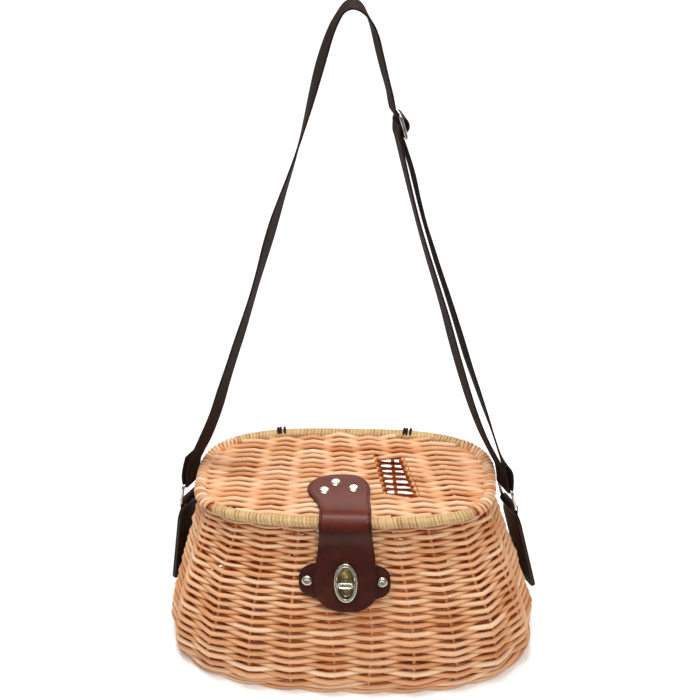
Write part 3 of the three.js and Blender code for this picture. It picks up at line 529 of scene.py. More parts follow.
def make_wall(s):
    """Randing: row k at stake i is in front when i + k is even, so a rod's distance from the middle
    surface is reach * (-1)^k * weave(stakes * share). Rows are closer together near the top."""
    rng = np.random.default_rng(11)
    shell = Shell(inset=5.2)
    stakes, stake_radius, slack = s.stakes, 1.5, 0.85
    count = stakes * 9  # points along each rod
    share = np.arange(count) / count
    first_row, last_row = -21.4, -171.5
    heights = [first_row]
    while heights[-1] > last_row:
        down = (ROWS_TOP - heights[-1]) / ROWS_TALL
        heights.append(heights[-1] - 1000 * (s.pitch_top * (1 - down) + s.pitch_foot * down))
    z0 = np.array(heights)[:, None]
    rows = len(z0)
    down = (ROWS_TOP - z0) / ROWS_TALL
    # rows drift up and down together, and each a little more, but not at the border and the foot
    drift = ripple(rng, 1, share, 7) * 0.9 + 0.3 * ripple(rng, rows, share, 9, 0.5)
    z = z0 + drift * smooth_step(-z0, 20, 40) * (1 - smooth_step(-z0, 160, 172))
    middle, normal = shell.at(z, share)
    # a rod runs nearly straight from one stake to the next
    place = share * stakes + s.phase
    low = np.floor(place)
    a, _ = shell.at(z, (low - s.phase)[None] / stakes)
    b, _ = shell.at(z, (low + 1 - s.phase)[None] / stakes)
    straight = a + (b - a) * (place - low)[None, :, None]
    middle[..., :2] += s.straightness * (straight - middle)[..., :2]
    radius = 1000 * (s.rod_top * (1 - down) + s.rod_foot * down) / 2
    radius = radius * (1 + 0.07 * ripple(rng, rows, share, 4) + rng.normal(0, 0.05, (rows, 1)))
    # the back is fuller, and looser in the part that the fish slot shows
    x, y = middle[..., 0], middle[..., 1]
    loose = smooth_step(y, 35, 62) * smooth_step(x, 0, 18) * (1 - smooth_step(x, 66, 84))
    loose = loose * (1 - smooth_step(-z, 105, 125))
    radius = radius * (1 + s.back_fullness * smooth_step(y, -10, 35)) * (1 - s.back_thinning * loose)
    sign = np.where(np.arange(rows) % 2, -1.0, 1.0)[:, None]
    reach = (stake_radius + radius * slack) * (1 + 0.1 * ripple(rng, rows, share, stakes, 0))
    paths = middle + normal * (sign * weave(place)[None] * reach)[..., None]
    # painted shade: the weavers are darker where their surface lies back in the weave's hollows, not on the
    # side turned into the basket
    weavers = rods(paths, normal, radius, rod_tints(rng, rows, share), loop=True,
                   hollow_shade=(middle, normal, -3.0, 2.4, 0.85))
    put_mesh("wall_weavers", weavers, "peeled_willow", "basket_wall")
    z = np.linspace(-12.5, -187.5, 80)  # the stakes, which grow thicker downwards
    lane = (np.arange(stakes) - s.phase)[:, None] / stakes
    wander = 0.05 * ripple(rng, stakes, np.linspace(0, 0.7, len(z)), 3) / stakes
    middle, _ = shell.at(z[None], lane + wander)
    radius = np.linspace(stake_radius, 2.0, len(z))[None] * (1 + rng.normal(0, 0.04, (stakes, 1)))
    bars = rods(middle, X + 0.01 * Y, radius, rod_tints(rng, stakes, z / 300) - 0.25)
    put_mesh("wall_stakes", bars, "peeled_willow", "basket_wall")


def twisted_band(name, node, heights, inset, stakes, out, up, size, seed, phase=0.0):
    """Waling: each strand's distance out is out * cos(a) and its height up * sin(a), where a turns once
    in as many stakes as there are strands, three, so that each strand lies over the next."""
    rng = np.random.default_rng(seed)
    count, strands = stakes * 10, 3
    share = np.arange(count) / count
    parts = []
    for row, z in enumerate(heights):
        middle, normal = outline_at(level(z), inset, count, z)
        turns = round(stakes / strands) * share[None]
        a = TAU * (turns + np.arange(strands)[:, None] / strands + phase + row * 0.4)
        wide = out * np.cos(a) + 0.12 * out * np.cos(2 * a)
        paths = middle + wide[..., None] * normal + (up * np.sin(a))[..., None] * Z
        paths[..., 2] += 0.35 * ripple(rng, 1, share, 6)
        radius = size * (1 + 0.06 * ripple(rng, strands, share, 4))
        # painted shade: the strands are darker where they lie low in the hollows between each other
        parts.append(rods(paths, normal, radius, rod_tints(rng, strands, share), loop=True,
                          hollow_shade=(middle, normal, -2.5, 2.0, 0.9)))
    put_mesh(name, joined(*parts), "peeled_willow", node)


def stick_x(sticks, y):
    """Where sticks lie at a given y. Each is a row (x at y = 55, x at y = -25)."""
    return sticks[:, 0] + (sticks[:, 1] - sticks[:, 0]) * (55 - y) / 80


def woven_panel(plan, inset, z, y_rows, sticks, reach, rod, stick, gap=None, seed=5, waver=0.35, stiff=0.4):
    """A flat panel of sticks from front to back with rods across them: row k at stick i is above when
    i + k is even, so a rod's height is reach * (-1)^k * weave(q), where q counts the sticks. The first and
    last stick only carry the count on past the edge. Gives the two meshes and the rows as (y, left x,
    right x, sign)."""
    rng = np.random.default_rng(seed)
    under_rim = 2.5  # how far a rod runs in under the rim
    edge, _ = outline(plan, inset)
    right = edge[edge[:, 0] > 0]
    right = right[np.argsort(right[:, 1])]
    rows = []
    for k, y in enumerate(y_rows):
        half = np.interp(y, right[:, 1], right[:, 0]) + under_rim
        sign = 1.0 if k % 2 == 0 else -1.0
        hole = gap(y) if gap else None
        spans = ((-half, hole[0]), (hole[1], half)) if hole else ((-half, half),)
        rows += [(y, low, high, sign) for low, high in spans]
    y0, low, high, sign = (np.array(c)[:, None] for c in zip(*rows))
    count = len(y0)
    t = np.linspace(0, 1, 110)
    x = low + (high - low) * t[None]
    # all rows waver together, read at the same x, and each a little more
    across = x[count // 2]
    wave = ripple(rng, 1, (across + 150) / 300, 5)[0]
    y = y0 + waver * (np.interp(x, across, wave) + 0.6 * ripple(rng, count, t * 0.8, 5))
    numbers = np.arange(len(sticks)) - 1
    q = np.stack([np.interp(x[r], stick_x(sticks, y0[r, 0]), numbers) for r in range(count)])
    height = z + sign * weave(q, stiff) * reach * (1 + 0.08 * ripple(rng, count, t, 8, 0.4))
    paths = np.stack([x, y, height], -1)
    radius = rod / 2 * (1 + 0.06 * ripple(rng, count, t * 0.7, 4) + rng.normal(0, 0.04, (count, 1)))
    # painted shade: darker where a rod lies low in the weave's hollows and along its sides, where it meets
    # the next; painted light too: the rods are paler by 0.1 for the lid's top under the lamps, and the
    # bottom, made here as well, gets that too
    weavers = rods(paths, Z, radius, rod_tints(rng, count, t * 0.8) + 0.1, 10, side_shade=0.6,
                   hollow_shade=(paths * [1, 1, 0] + [0, 0, z], Z, -2.8, 1.4, 0.5))
    span = np.linspace(0, 1, 60)
    front, back = (part[np.argsort(part[:, 0])] for part in (edge[edge[:, 1] < 0], edge[edge[:, 1] > 0]))
    lines = []
    for k in range(1, len(sticks) - 1):
        # from the front edge to the back one, where this stick crosses them
        y_front, y_back = 0.0, 0.0
        for _ in range(6):
            y_front = np.interp(stick_x(sticks, y_front)[k], front[:, 0], front[:, 1])
            y_back = np.interp(stick_x(sticks, y_back)[k], back[:, 0], back[:, 1])
        ys = y_front - 1.0 + (y_back - y_front + 2.0) * span
        xs = np.array([stick_x(sticks, v)[k] for v in ys])
        lines.append(np.stack([xs, ys, np.full_like(xs, z)], -1))
    bars = rods(lines, X, stick / 2, rod_tints(rng, len(lines), span * 0.7) - 0.25)
    return weavers, bars, rows


LID_STICKS = np.array([(-134, -134), (-87, -98), (-58, -63), (-33, -28), (-8, 4), (19.5, 38), (45, 70.5),
                       (77, 102), (138, 138)])
SLOT_STICKS = (5, 6)  # the sticks at the left and right of the fish slot
SLOT_Y = (-17.8, 35.8)
LID_MIDDLE = -4.9


def make_lid(s):
    """The woven lid, its sticks, and the rods turned back at the fish slot."""
    plan = lid_plan()
    inner, _ = outline(plan, RIM_DEPTH)
    front, back = inner[:, 1].min() + 0.6, inner[:, 1].max() - 0.6
    y_rows = np.linspace(front, back, int(round((back - front) / (1000 * s.lid_pitch))))
    rod = 1000 * s.lid_rod

    def slot(y):
        left, right = stick_x(LID_STICKS, y)[list(SLOT_STICKS)]
        return (left - 0.2, right + 0.2) if SLOT_Y[0] < y < SLOT_Y[1] else None

    weavers, bars, rows = woven_panel(plan, RIM_DEPTH, LID_MIDDLE, y_rows, LID_STICKS, 3.0, rod, 3.8, slot,
                                      waver=0.25, stiff=0.75)
    put_mesh("lid_weavers", weavers, "peeled_willow", "lid_panel")
    put_mesh("lid_sticks", bars, "peeled_willow", "lid_panel")
    make_slot_turns(rows, rod)


def make_slot_turns(rows, rod):
    """Rods turned back round the sticks at the slot's sides: arcs about a stick from above one row to
    below the next, with painted shade that makes them darker towards the slot, where its inner faces lie in
    shade."""
    rng = np.random.default_rng(8)
    reach, rise, slim = 3.2, 2.75, 0.84
    arcs, middles, inward = [], [], []
    th = np.linspace(0.5 * np.pi, -0.5 * np.pi, 11)
    for stick, out in zip(SLOT_STICKS, (1, -1)):
        # the rows that end left of the slot, or those that start right of it
        ys = sorted(y for y, low, high, _ in rows
                    if SLOT_Y[0] < y < SLOT_Y[1] and (high < 60 if out == 1 else low > 30))
        for a, b in zip(ys[::2], ys[1::2]):
            x = stick_x(LID_STICKS, (a + b) / 2)[stick]
            arcs.append(np.stack([x + out * reach * np.cos(th), a + (b - a) * (0.5 - th / np.pi),
                                  LID_MIDDLE + rise * np.sin(th)], -1))
            middles.append([[x, (a + b) / 2, LID_MIDDLE]])
            inward.append([-out * X])
    shade = rod_tints(rng, len(arcs), np.linspace(0, 0.2, 11))
    # painted shade: darker on the side turned towards the slot
    parts = rods(arcs, Y, slim * rod / 2, shade,
                 hollow_shade=(np.array(middles), np.array(inward), -4.6, -0.5, 1.2))
    put_mesh("slot_turns", parts, "peeled_willow", "lid_panel")


def make_rim(s):
    """The lid's frame: a core rod all round, split cane wound round it in front and behind, and the
    weavers' turns round its ends."""
    rng = np.random.default_rng(21)
    count, core_radius = 900, 2.6
    middle, normal = outline_at(lid_plan(), RIM_DEPTH / 2, count, -RIM_HEIGHT / 2)
    core = rods(middle[None, ::5], normal[None, ::5], core_radius, -0.5, 10, loop=True)
    put_mesh("rim_core", core, "peeled_willow", "lid_rim")
    spacing = np.linalg.norm(np.roll(middle, -1, 0) - middle, axis=1).sum() / count
    x, y = middle[:, 0], middle[:, 1]
    front = (y < 0) & (x > -s.cane_front * 1000) & (x < s.cane_front * 1000 + 1)
    back = (y > 0) & (np.abs(x) < s.cane_back * 1000)
    # the place where each winding starts, counter-clockwise from the middle of the front
    starts = (np.flatnonzero(~front)[-1] + 1, np.flatnonzero(back)[0])
    parts = [cane_winding(rng, middle, normal, start, int(mask.sum()), spacing)
             for start, mask in zip(starts, (front, back))]
    put_mesh("rim_cane", joined(*parts), "split_cane", "lid_rim")
    # turns round the ends, every 4.15 mm, each leaning over 1.6 of that on its way round
    step, lean = 4.15 / spacing, 1.6
    half_depth, half_height, slim = 4.2, 3.9, 0.82
    th = np.linspace(1.08 * np.pi, -0.98 * np.pi, 30)
    turns = []
    for start in np.arange(0, count, step):
        near = int(start) % count
        if front[near] or back[near]:
            continue
        place = start + step * lean * (0.5 - th / TAU) * (1 if x[near] > 0 else -1)
        out = unit(read_round(normal, place))
        circle = out * half_depth * np.cos(th)[:, None] + Z * half_height * np.sin(th)[:, None]
        turns.append(read_round(middle, place) + circle)
    turns = np.array(turns)
    refs = np.cross(unit(np.roll(turns, -1, 1) - np.roll(turns, 1, 1)), Z + 0.01)
    radius = 1000 * s.lid_rod / 2 * slim * (1 + 0.05 * ripple(rng, len(turns), np.linspace(0, 0.3, 30), 3))
    shade = rod_tints(rng, len(turns), np.linspace(0, 0.2, 30), 0.2) + 0.1
    hub = turns.mean(1, keepdims=True)
    # painted shade on each turn's sides, in the hollows between it and the next
    wound = rods(turns, refs, radius, shade, 10, side_shade=0.5, hollow_shade=(hub, unit(turns - hub), 3.4, 5.2, 0.8))
    put_mesh("rim_turns", wound, "peeled_willow", "lid_rim")


def cane_winding(rng, middle, normal, start, cells, spacing):
    """Cane wound round cells of the rim's course. Its strips, 3.3 mm wide, are a little bulged, and their
    surface sinks into a narrow seam at each edge: 0.38 * exp(-(distance to the seam / 0.34)^2)."""
    strip, seam_depth, seam_width, sides, step = 3.3, 0.38, 0.34, 28, 0.55
    share = np.linspace(0, 1, int(cells * spacing / step))
    run = share * cells * spacing
    place = start + share * (cells - 1)
    c, s = (v[None] for v in turn(sides))
    # a seam leans round the rim, and the strips differ a little in width
    shift = 1.1 * s + 0.9 * np.sin(run / 31)[:, None]
    cell = (run[:, None] + shift) / strip + 0.12 * np.sin(run / 17.3)[:, None]
    away = np.abs(cell - np.round(cell)) * strip
    numbers = np.round(cell + 0.5).astype(int)
    dark = rng.uniform(0.25, 1.2, numbers.max() + 3)[np.round(cell).astype(int)]
    sink = seam_depth * dark * np.exp(-(away / seam_width) ** 2)
    bulge = 0.12 * np.cos(np.pi * (cell - np.floor(cell) - 0.5)) ** 2
    # the cane is drawn in at both ends of the winding
    close = smooth_step(np.minimum(run, run[-1] - run), 0, 3.0)[:, None] * 0.45 + 0.55
    u = (RIM_DEPTH / 2 - sink + bulge) * close * signed_power(c, 0.8)
    v = (RIM_HEIGHT / 2 - sink + bulge) * close * signed_power(s, 0.8)
    out = unit(read_round(normal, place))
    grid = read_round(middle, place)[:, None] + out[:, None] * u[..., None] + Z * v[..., None]
    shades = np.clip(0.5 + rng.normal(0, 0.09, numbers.max() + 3), 0.05, 0.95)
    # painted shade in the seams: each strip's tone is darker by 2.2 times how far its surface sinks there
    return grid_parts(grid[None], tint=shades[numbers] - 2.2 * sink)


def make_base():
    """The woven bottom, of rods across sticks."""
    x = np.array([-165.0, *np.linspace(-132, 132, 9), 165.0])
    weavers, bars, _ = woven_panel(level(FOOT_Z), 14.0, -186.5, np.arange(-76.0, 66.0, 4.2),
                                   np.stack([x, x], 1), 1.9, 3.1, 3.1, seed=14)
    put_mesh("base_weave", joined(weavers, bars), "peeled_willow", "basket_base")


def make_hinges():
    """Each hinge is three turns of a dark cord round the lid's rim and the top border, in a rounded
    oblong: its middle + sign * min(1.32 |cos|, 1) * (half - corner) + corner * cos, and as much with sin."""
    plan = lid_plan()
    edge, n = outline(plan)
    low, high, corner = np.array([-8.4, -20.6]), np.array([1.4, 1.0]), 4.0  # outwards, and height
    cord = 1.2
    th = np.arange(48) / 48 * TAU
    way = np.stack([np.cos(th), np.sin(th)], 1)
    straight = np.sign(way) * np.minimum(np.abs(way) * 1.32, 1) * ((high - low) / 2 - corner)
    u, v = ((low + high) / 2 + straight + corner * way).T
    shift = np.array([[-3.3], [0.4], [3.0]]) + 0.2 * np.sin(th + np.arange(3)[:, None])
    for side, x in (("left", -0.484 * plan[0]), ("right", 0.407 * plan[0])):
        i = int(np.where(edge[:, 1] > 0, np.abs(edge[:, 0] - x), 1e9).argmin())
        at, out = np.array([*edge[i], 0.0]), np.array([*n[i], 0.0])
        across = np.cross(Z, out)
        paths = at + u[:, None] * out + v[:, None] * Z + shift[..., None] * across
        cords = rods(paths, across, cord, [[0.4], [0.6], [0.5]], loop=True)
        put_mesh(f"hinge_loop_{side}_cords", cords, "dark_cowhide", f"hinge_loop_{side}")


# leather closure
FLAP_ON_LID = (
    # share of the lid's depth in front, then the left and right edge as shares of the flap's width
    (0.0225, -0.115, -0.02), (0.017, -0.177, 0.035), (0, -0.319, 0.133), (-0.052, -0.461, 0.222),
    (-0.122, -0.559, 0.293), (-0.208, -0.621, 0.34), (-0.312, -0.638, 0.362),
    (-0.417, -0.603, 0.36), (-0.538, -0.514, 0.365), (-0.677, -0.433, 0.387), (-0.816, -0.401, 0.408),
)
FLAP_DOWN = (
    # height as a share of FLAP_DROP, then the same edges
    (-0.148, -0.404, 0.429), (-0.273, -0.422, 0.443), (-0.409, -0.454, 0.465), (-0.545, -0.486, 0.479),
    (-0.682, -0.504, 0.484), (-0.784, -0.5, 0.482), (-0.864, -0.457, 0.45), (-0.926, -0.376, 0.372),
    (-0.972, -0.266, 0.262), (-0.996, -0.14, 0.136), (-1.002, -0.06, 0.056),
)
LID_RIVETS = ((-0.367, -0.356), (-0.2, -0.17), (0.094, -0.295))
ON_LID = 0.8  # the leather's underside over the lid's top


def flap_course():
    """The middle of the leather as rows (y, z, left, right): flat on the lid, rising to go round its rim on
    a bend of 12 mm, and down the front onto the leather behind it."""
    front = lid_plan()[1]
    lift, half, bend = 2.0, LEATHER / 2, 12.0
    rows = [(a * front, ON_LID + (lift - ON_LID) * smooth_step(-a, 0.35, 0.8) + half, left, right)
            for a, left, right in FLAP_ON_LID]
    over, down = np.array(FLAP_ON_LID[-1]), np.array(FLAP_DOWN[0])
    for share in (0.2, 0.4, 0.6, 0.8):
        a = share * np.pi / 2
        _, left, right = over + (down - over) * share
        rows.append((-front - lift - half + bend - bend * np.sin(a), lift + half - bend + bend * np.cos(a),
                     left, right))
    outside = LEATHER + 3 + 1.05 - half
    for a, left, right in FLAP_DOWN:
        z = a * FLAP_DROP
        lying = PANEL_Y + (z - PANEL_Z) * np.tan(PANEL_LEAN) - outside / np.cos(PANEL_LEAN)
        t = smooth_step(z / FLAP_DROP, -0.48, -0.09)
        rows.append((lying * (1 - t) + (-front - lift - half) * t, z, left, right))
    rows = np.array(rows)
    rows[:, 2:] = FLAP_X + rows[:, 2:] * FLAP_WIDTH
    return rows


EDGE_STEPS = np.array([0, 0.12, 0.4, 0.85, 1.4, 1.8, 2.1, 2.4, 2.7, 3.0, 3.5, 5.0, 8.0])


def edge_profile(d, crease=0.3):
    """Height over the middle at distance d from the edge: a quarter round of 0.85 mm, and a crease line
    2.4 mm in, crease * exp(-((d - 2.4) / 0.33)^2) deep."""
    corner = 0.85
    line = crease * np.exp(-((d - 2.4) / 0.33) ** 2)
    return (LEATHER / 2 - corner) + corner * quarter_round(d / corner) - line


def mirrored(a, way=1):
    """Columns from one edge to the middle, carried on to the other edge, there times way."""
    return np.concatenate([a, way * a[:, -2::-1]], 1)


def round_section(above, below):
    """Columns across the upper side, then back across the lower one without its two ends."""
    return np.concatenate([above, below[:, -2:0:-1]], 1)


def make_flap():
    """The leather flap: across its course, edge_profile() over the distance d from its edge, which counts
    from the nearest of its sides and ends. Its stitches follow the sides where it goes over the rim."""
    rows = flap_course()
    # even in its length over y and z, so the third column is empty
    course = spline(np.column_stack([rows[:, :2], np.zeros(len(rows)), rows[:, 2:]]), 190)
    # stiff leather bends wide: a running mean over 18 mm of its course
    reach = 12
    wide = np.pad(course[:, :2], ((reach, reach), (0, 0)), mode="reflect", reflect_type="odd")
    weight = np.hanning(2 * reach + 3)[1:-1]
    y, z = (np.convolve(c, weight / weight.sum(), "valid") for c in wide.T)
    left, right = course[:, 3], course[:, 4]
    t = unit(np.stack([np.gradient(y), np.gradient(z)], 1))
    out = np.stack([np.zeros(len(y)), t[:, 1], -t[:, 0]], 1)  # outer side of the leather
    centre, half = (left + right) / 2, (right - left)[:, None] / 2
    fit = np.minimum(1, half / 10)  # the edge's steps are closer together where the leather is narrow
    steps = EDGE_STEPS[None] * fit
    d = np.concatenate([steps, steps[:, -1:] + (half - steps[:, -1:]) * np.linspace(0.3, 1, 4)[None]], 1)
    ends = np.minimum(np.arange(len(y)), np.arange(len(y))[::-1])[:, None] * 0.75
    near = np.minimum(d, ends + 0.02)  # the rounding also runs round both ends
    high = mirrored(edge_profile(near / np.maximum(fit, 0.4)))
    low = mirrored(edge_profile(near, crease=0.0))
    top = mirrored(d - half, -1)
    x, h = round_section(top, top), round_section(high, -low)
    base = np.stack([centre, y, z], 1)
    verts, faces, uv, _ = grid_parts((base[:, None] + x[..., None] * X + h[..., None] * out[:, None])[None],
                                     flip=True)
    # painted light: the flap is paler on the lid's top and round the bend, where the lamps overhead light
    # it, fading to its own dark colour down the front
    palest = 0.5 * smooth_step(z, -14, 3.6)[:, None] ** 2
    tint = 0.5 + palest - 0.45 * np.exp(-round_section(mirrored(d), mirrored(d)) ** 2)
    flap = put_mesh("flap", (verts, faces, uv, tint.ravel()), "polished_cowhide", "closure_flap")
    stitches = []
    from_edge, thread = 2.0, 0.34
    for k in range(0, len(z), 4):
        if -7 < z[k] < 3.2 and y[k] < -45:
            for side in (-1, 1):
                stitches.append([base[k + j] + side * (half[k + j] - from_edge) * X + out[k + j] * lift
                                 for j, lift in enumerate((1.2, 1.75, 1.75, 1.2))])
    sewn = rods(stitches, X, thread, 0.1, 6)
    put_mesh("flap_stitches", sewn, "dark_cowhide", "closure_flap")
    cut_window(flap)


def cut_window(flap):
    """Cuts the oval window for the lock through the leather."""
    ring = oval(*WINDOW, 48, WINDOW_POWER) + [FLAP_X, 0]
    verts, faces, _, _ = grid_parts(rings_on_panel([ring, ring], (-4.0, 16.0))[None])
    mesh = bpy.data.meshes.new("window_cutter")
    mesh.from_pydata(((verts - ORIGIN) / 1000).tolist(), [], faces)
    tool = new_object("window_cutter", mesh)
    cut = flap.modifiers.new("window", "BOOLEAN")
    cut.operation, cut.object, cut.solver = "DIFFERENCE", tool, "EXACT"
    bpy.context.view_layer.update()
    made = bpy.data.meshes.new_from_object(flap.evaluated_get(bpy.context.evaluated_depsgraph_get()))
    flap.modifiers.clear()
    flap.data = made
    bpy.data.objects.remove(tool)


def make_ears():
    """The leather behind the flap, an oval with rounded, creased edges: rings at distances in from its
    outline, from the middle above round the edge to the middle below."""
    ring = oval(41.0, 19.5, 160, 3.0) + [2.5, -2.0]
    centre = ring.mean(0)
    rings = [ring - normals_round(ring) * d for d in EDGE_STEPS]
    hub = centre + (ring - centre) * 0.02
    ridge = centre + (rings[-1] - centre) * 0.5
    high, low = edge_profile(EDGE_STEPS), edge_profile(EDGE_STEPS, crease=0.0)
    lifts = np.concatenate([high[[-1, -1]], high[::-1], -low[1:], -low[-1:]]) + 2.0
    grid = rings_on_panel([hub, ridge, *rings[::-1], *rings[1:], hub], lifts)
    verts, faces, uv, _ = grid_parts(grid[None], flip=True)
    depth = np.concatenate([[30, 15], EDGE_STEPS[::-1], EDGE_STEPS[1:], [30]])
    tint = np.repeat(0.45 - 0.4 * np.exp(-depth ** 2), len(ring))
    put_mesh("ears", (verts, faces, uv, tint), "polished_cowhide", "closure_ears")


def rivet(name, node, at, axis, radius, height=2.2, dimple=0.0):
    """A low rivet head on a thin flange, turned about its axis: r = 0.93 radius cos(a)^0.55, with its
    height over a foot of 0.5 mm as sin(a), less dimple * exp(-(2.2 r / radius)^4)."""
    a = np.linspace(0, np.pi / 2, 14)
    dome = np.stack([radius * 0.93 * np.cos(a) ** 0.55, 0.5 + (height - 0.5) * np.sin(a)], 1)[:-1]
    dome = np.vstack([dome, np.stack([dome[-1, 0] * np.linspace(0.9, 0.1, 9), np.full(9, height)], 1)])
    dome[:, 1] -= dimple * np.exp(-(2.2 * dome[:, 0] / radius) ** 4)
    flange = [[0.02, 0], [radius - 0.15, 0], [radius, 0.15], [radius, 0.38], [radius - 0.12, 0.5]]
    profile = np.vstack([flange, dome, [0.02, height - dimple]])[:, None]
    axis = unit(axis)
    one = unit(np.cross(axis, X if abs(axis[0]) < 0.8 else Y))
    c, s = turn(40)
    ring = c[:, None] * one + s[:, None] * np.cross(axis, one)
    grid = at + profile[..., :1] * ring[None] + profile[..., 1:] * axis
    put_mesh(name, grid_parts(grid[None]), "nickel_plate", node)


def make_rivets():
    """Three flat rivets on the lid, and two with a dimple through the leather behind the flap."""
    for k, (u, v) in enumerate(LID_RIVETS):
        at = np.array([FLAP_X + u * FLAP_WIDTH, v * lid_plan()[1], LEATHER + ON_LID])
        rivet(f"flap_rivet_head_{k + 1}", f"flap_rivet_{k + 1}", at, Z, 4.6, 1.3)
    for side, sign in SIDES:
        at = on_panel([2.5 + sign * 33.5, -1.0, 3.6])
        rivet(f"ear_rivet_head_{side}", f"ear_rivet_{side}", at, PANEL_OUT, 4.8, 1.9, 0.8)


LOCK_FLOOR = (
    # share of the oval and lift: a shallow dish, from its middle out over its lip and back underneath
    (0.02, 5.6), (0.5, 5.6), (0.62, 5.6), (0.66, 6.5), (0.78, 6.5), (0.82, 5.7), (0.93, 5.7), (0.97, 6.8),
    (1.0, 6.8), (1.0, 3.9), (0.02, 3.9))
LOCK_STEM = ((0.02 / 0.34, 5.9), (0.3 / 0.34, 5.9), (1.0, 5.95), (1.0, 9.9))
LOCK_BAR = (
    # the same for the bar over its stem, with the groove along its face at the end
    (0.8, 10.2), (0.95, 10.4), (1.0, 11.0), (1.0, 13.2), (0.97, 13.9), (0.9, 14.3), (0.84, 14.35),
    (0.76, 14.1), (0.62, 13.3), (0.5, 13.1), (0.02, 13.1))


def make_lock():
    """The turn lock: an oval bezel, whose section is a rounded arch |cos|^0.7 by |sin|^0.7, a sunk oval
    floor with a raised inner frame, and the turning bar, which has a groove along its face."""
    at = np.array([FLAP_X, 0.0])
    inner, outer = oval(*WINDOW, 96, WINDOW_POWER) + at, oval(10.4, 19.6, 96, WINDOW_POWER) + at
    c, s = turn(14)
    xy = inner[:, None] + (outer - inner)[:, None] * (0.5 + 0.5 * signed_power(c, 0.7))[None, :, None]
    low, high = 7.35, 9.8
    lift = np.broadcast_to((low + high) / 2 + (high - low) / 2 * signed_power(s, 0.7), xy.shape[:2])
    bezel = on_panel(np.concatenate([xy, lift[..., None]], -1))
    put_mesh("lock_bezel", grid_parts(bezel[None], loop=True), "nickel_plate", "lock_plate")
    dish = oval(7.0, 15.6, 96, WINDOW_POWER)
    shares, lifts = zip(*LOCK_FLOOR)
    floor = rings_on_panel([dish * share + at for share in shares], lifts)
    # the sunk floor is brass made darker: painted shade in the lock's recess
    put_mesh("lock_floor", grid_parts(floor[None], flip=True), "dulled_brass", "lock_post")
    stem, bar = oval(2.5, 2.5, 64, 2.0), oval(7.3, 3.0, 64, 3.2)
    rings = [stem * share + at for share, _ in LOCK_STEM]
    for share, _ in LOCK_BAR:
        # its length shrinks less than its width, as its edge is equally wide all round
        size = [1 - (1 - share) * 0.6, share] if share > 0.5 else [share, share]
        rings.append(bar * size + at)
    bar = rings_on_panel(rings, [lift for _, lift in LOCK_STEM + LOCK_BAR])
    put_mesh("lock_bar", grid_parts(bar[None]), "nickel_plate", "lock_knob", body="turn_knob")


# carrying gear
RING_TURN = np.pi / 6
BAR_X = (145.2, 149.5)  # upper and lower bar of the ring
BAR_Z = (-22.0, -44.0)
TAB_LEAN, TAB_DROP = 0.21968, 113.0  # outwards for each millimetre down, and its height
WEB_Y, APEX_X, APEX_Z = 20.0, 22.8, 443.0


def side_axes(sign):
    """Outwards and width directions at an end of the basket."""
    out = np.array([sign * np.cos(RING_TURN), np.sin(RING_TURN), 0])
    width = np.array([-sign * np.sin(RING_TURN), np.cos(RING_TURN), 0])
    return out, width


def ring_bar(sign, k):
    """The middle of a ring's upper (0) or lower (1) bar."""
    return np.array([sign * BAR_X[k], WEB_Y, BAR_Z[k]])


def wire_loop(centre, across, along, half_across, half_along, corner, radius):
    """A closed rounded rectangle of round wire, as one closed rod: each corner is (half - corner) +
    corner * (cos, sin)."""
    a = np.linspace(0, np.pi / 2, 9)
    flat = []
    for k, (sx, sy) in enumerate(((1, 1), (-1, 1), (-1, -1), (1, -1))):
        th = a + k * np.pi / 2
        flat.append(np.stack([sx * (half_across - corner) + corner * np.cos(th),
                              sy * (half_along - corner) + corner * np.sin(th)], 1))
    flat = np.vstack([*flat, flat[0][:1]])
    flat = resample(flat, 96, closed=True)
    path = centre + flat[:, :1] * across + flat[:, 1:] * along
    return rods(path[None], np.cross(across, along), radius, 0.5, 12, loop=True)


def make_rings():
    """A wire ring at each end, from the webbing's bar down to the tab's."""
    for side, sign in SIDES:
        _, width = side_axes(sign)
        top, low = ring_bar(sign, 0), ring_bar(sign, 1)
        reach = np.linalg.norm(top - low) / 2
        parts = wire_loop((top + low) / 2, width, unit(top - low), 12.6, reach, 2.6, 1.5)
        put_mesh(f"ring_{side}_wire", parts, "plated_wire", f"ring_{side}")


def strip_grid(path, out, width, half, thick, edge=0.6):
    """A strap of leather or webbing: a rounded oblong section carried along path, with half its width
    at each point. out is the face's direction and width the other one. Where it is thicker than 1.7 mm
    it has a crease 2.1 mm in from its edge, 0.22 * exp(-((d - 2.1) / 0.35)^2) deep."""
    half = half[:, None]
    d = np.array([0, 0.15 * edge, 0.5 * edge, edge, 1.6, 2.1, 2.6, 4.0])
    d = np.minimum(d[None], half * 0.9)
    d = np.concatenate([d, d[:, -1:] + (half - d[:, -1:]) * np.array([0.35, 0.7, 1.0])[None]], 1)
    h = (thick / 2 - edge) + edge * quarter_round(d / edge)
    h = mirrored(h - 0.22 * np.exp(-((d - 2.1) / 0.35) ** 2) * (thick > 1.7))
    top = mirrored(d - half, -1)
    x = np.concatenate([top, top[:, ::-1]], 1)
    y = np.concatenate([h, -h[:, ::-1]], 1)
    return path[:, None] + x[..., None] * width + y[..., None] * out


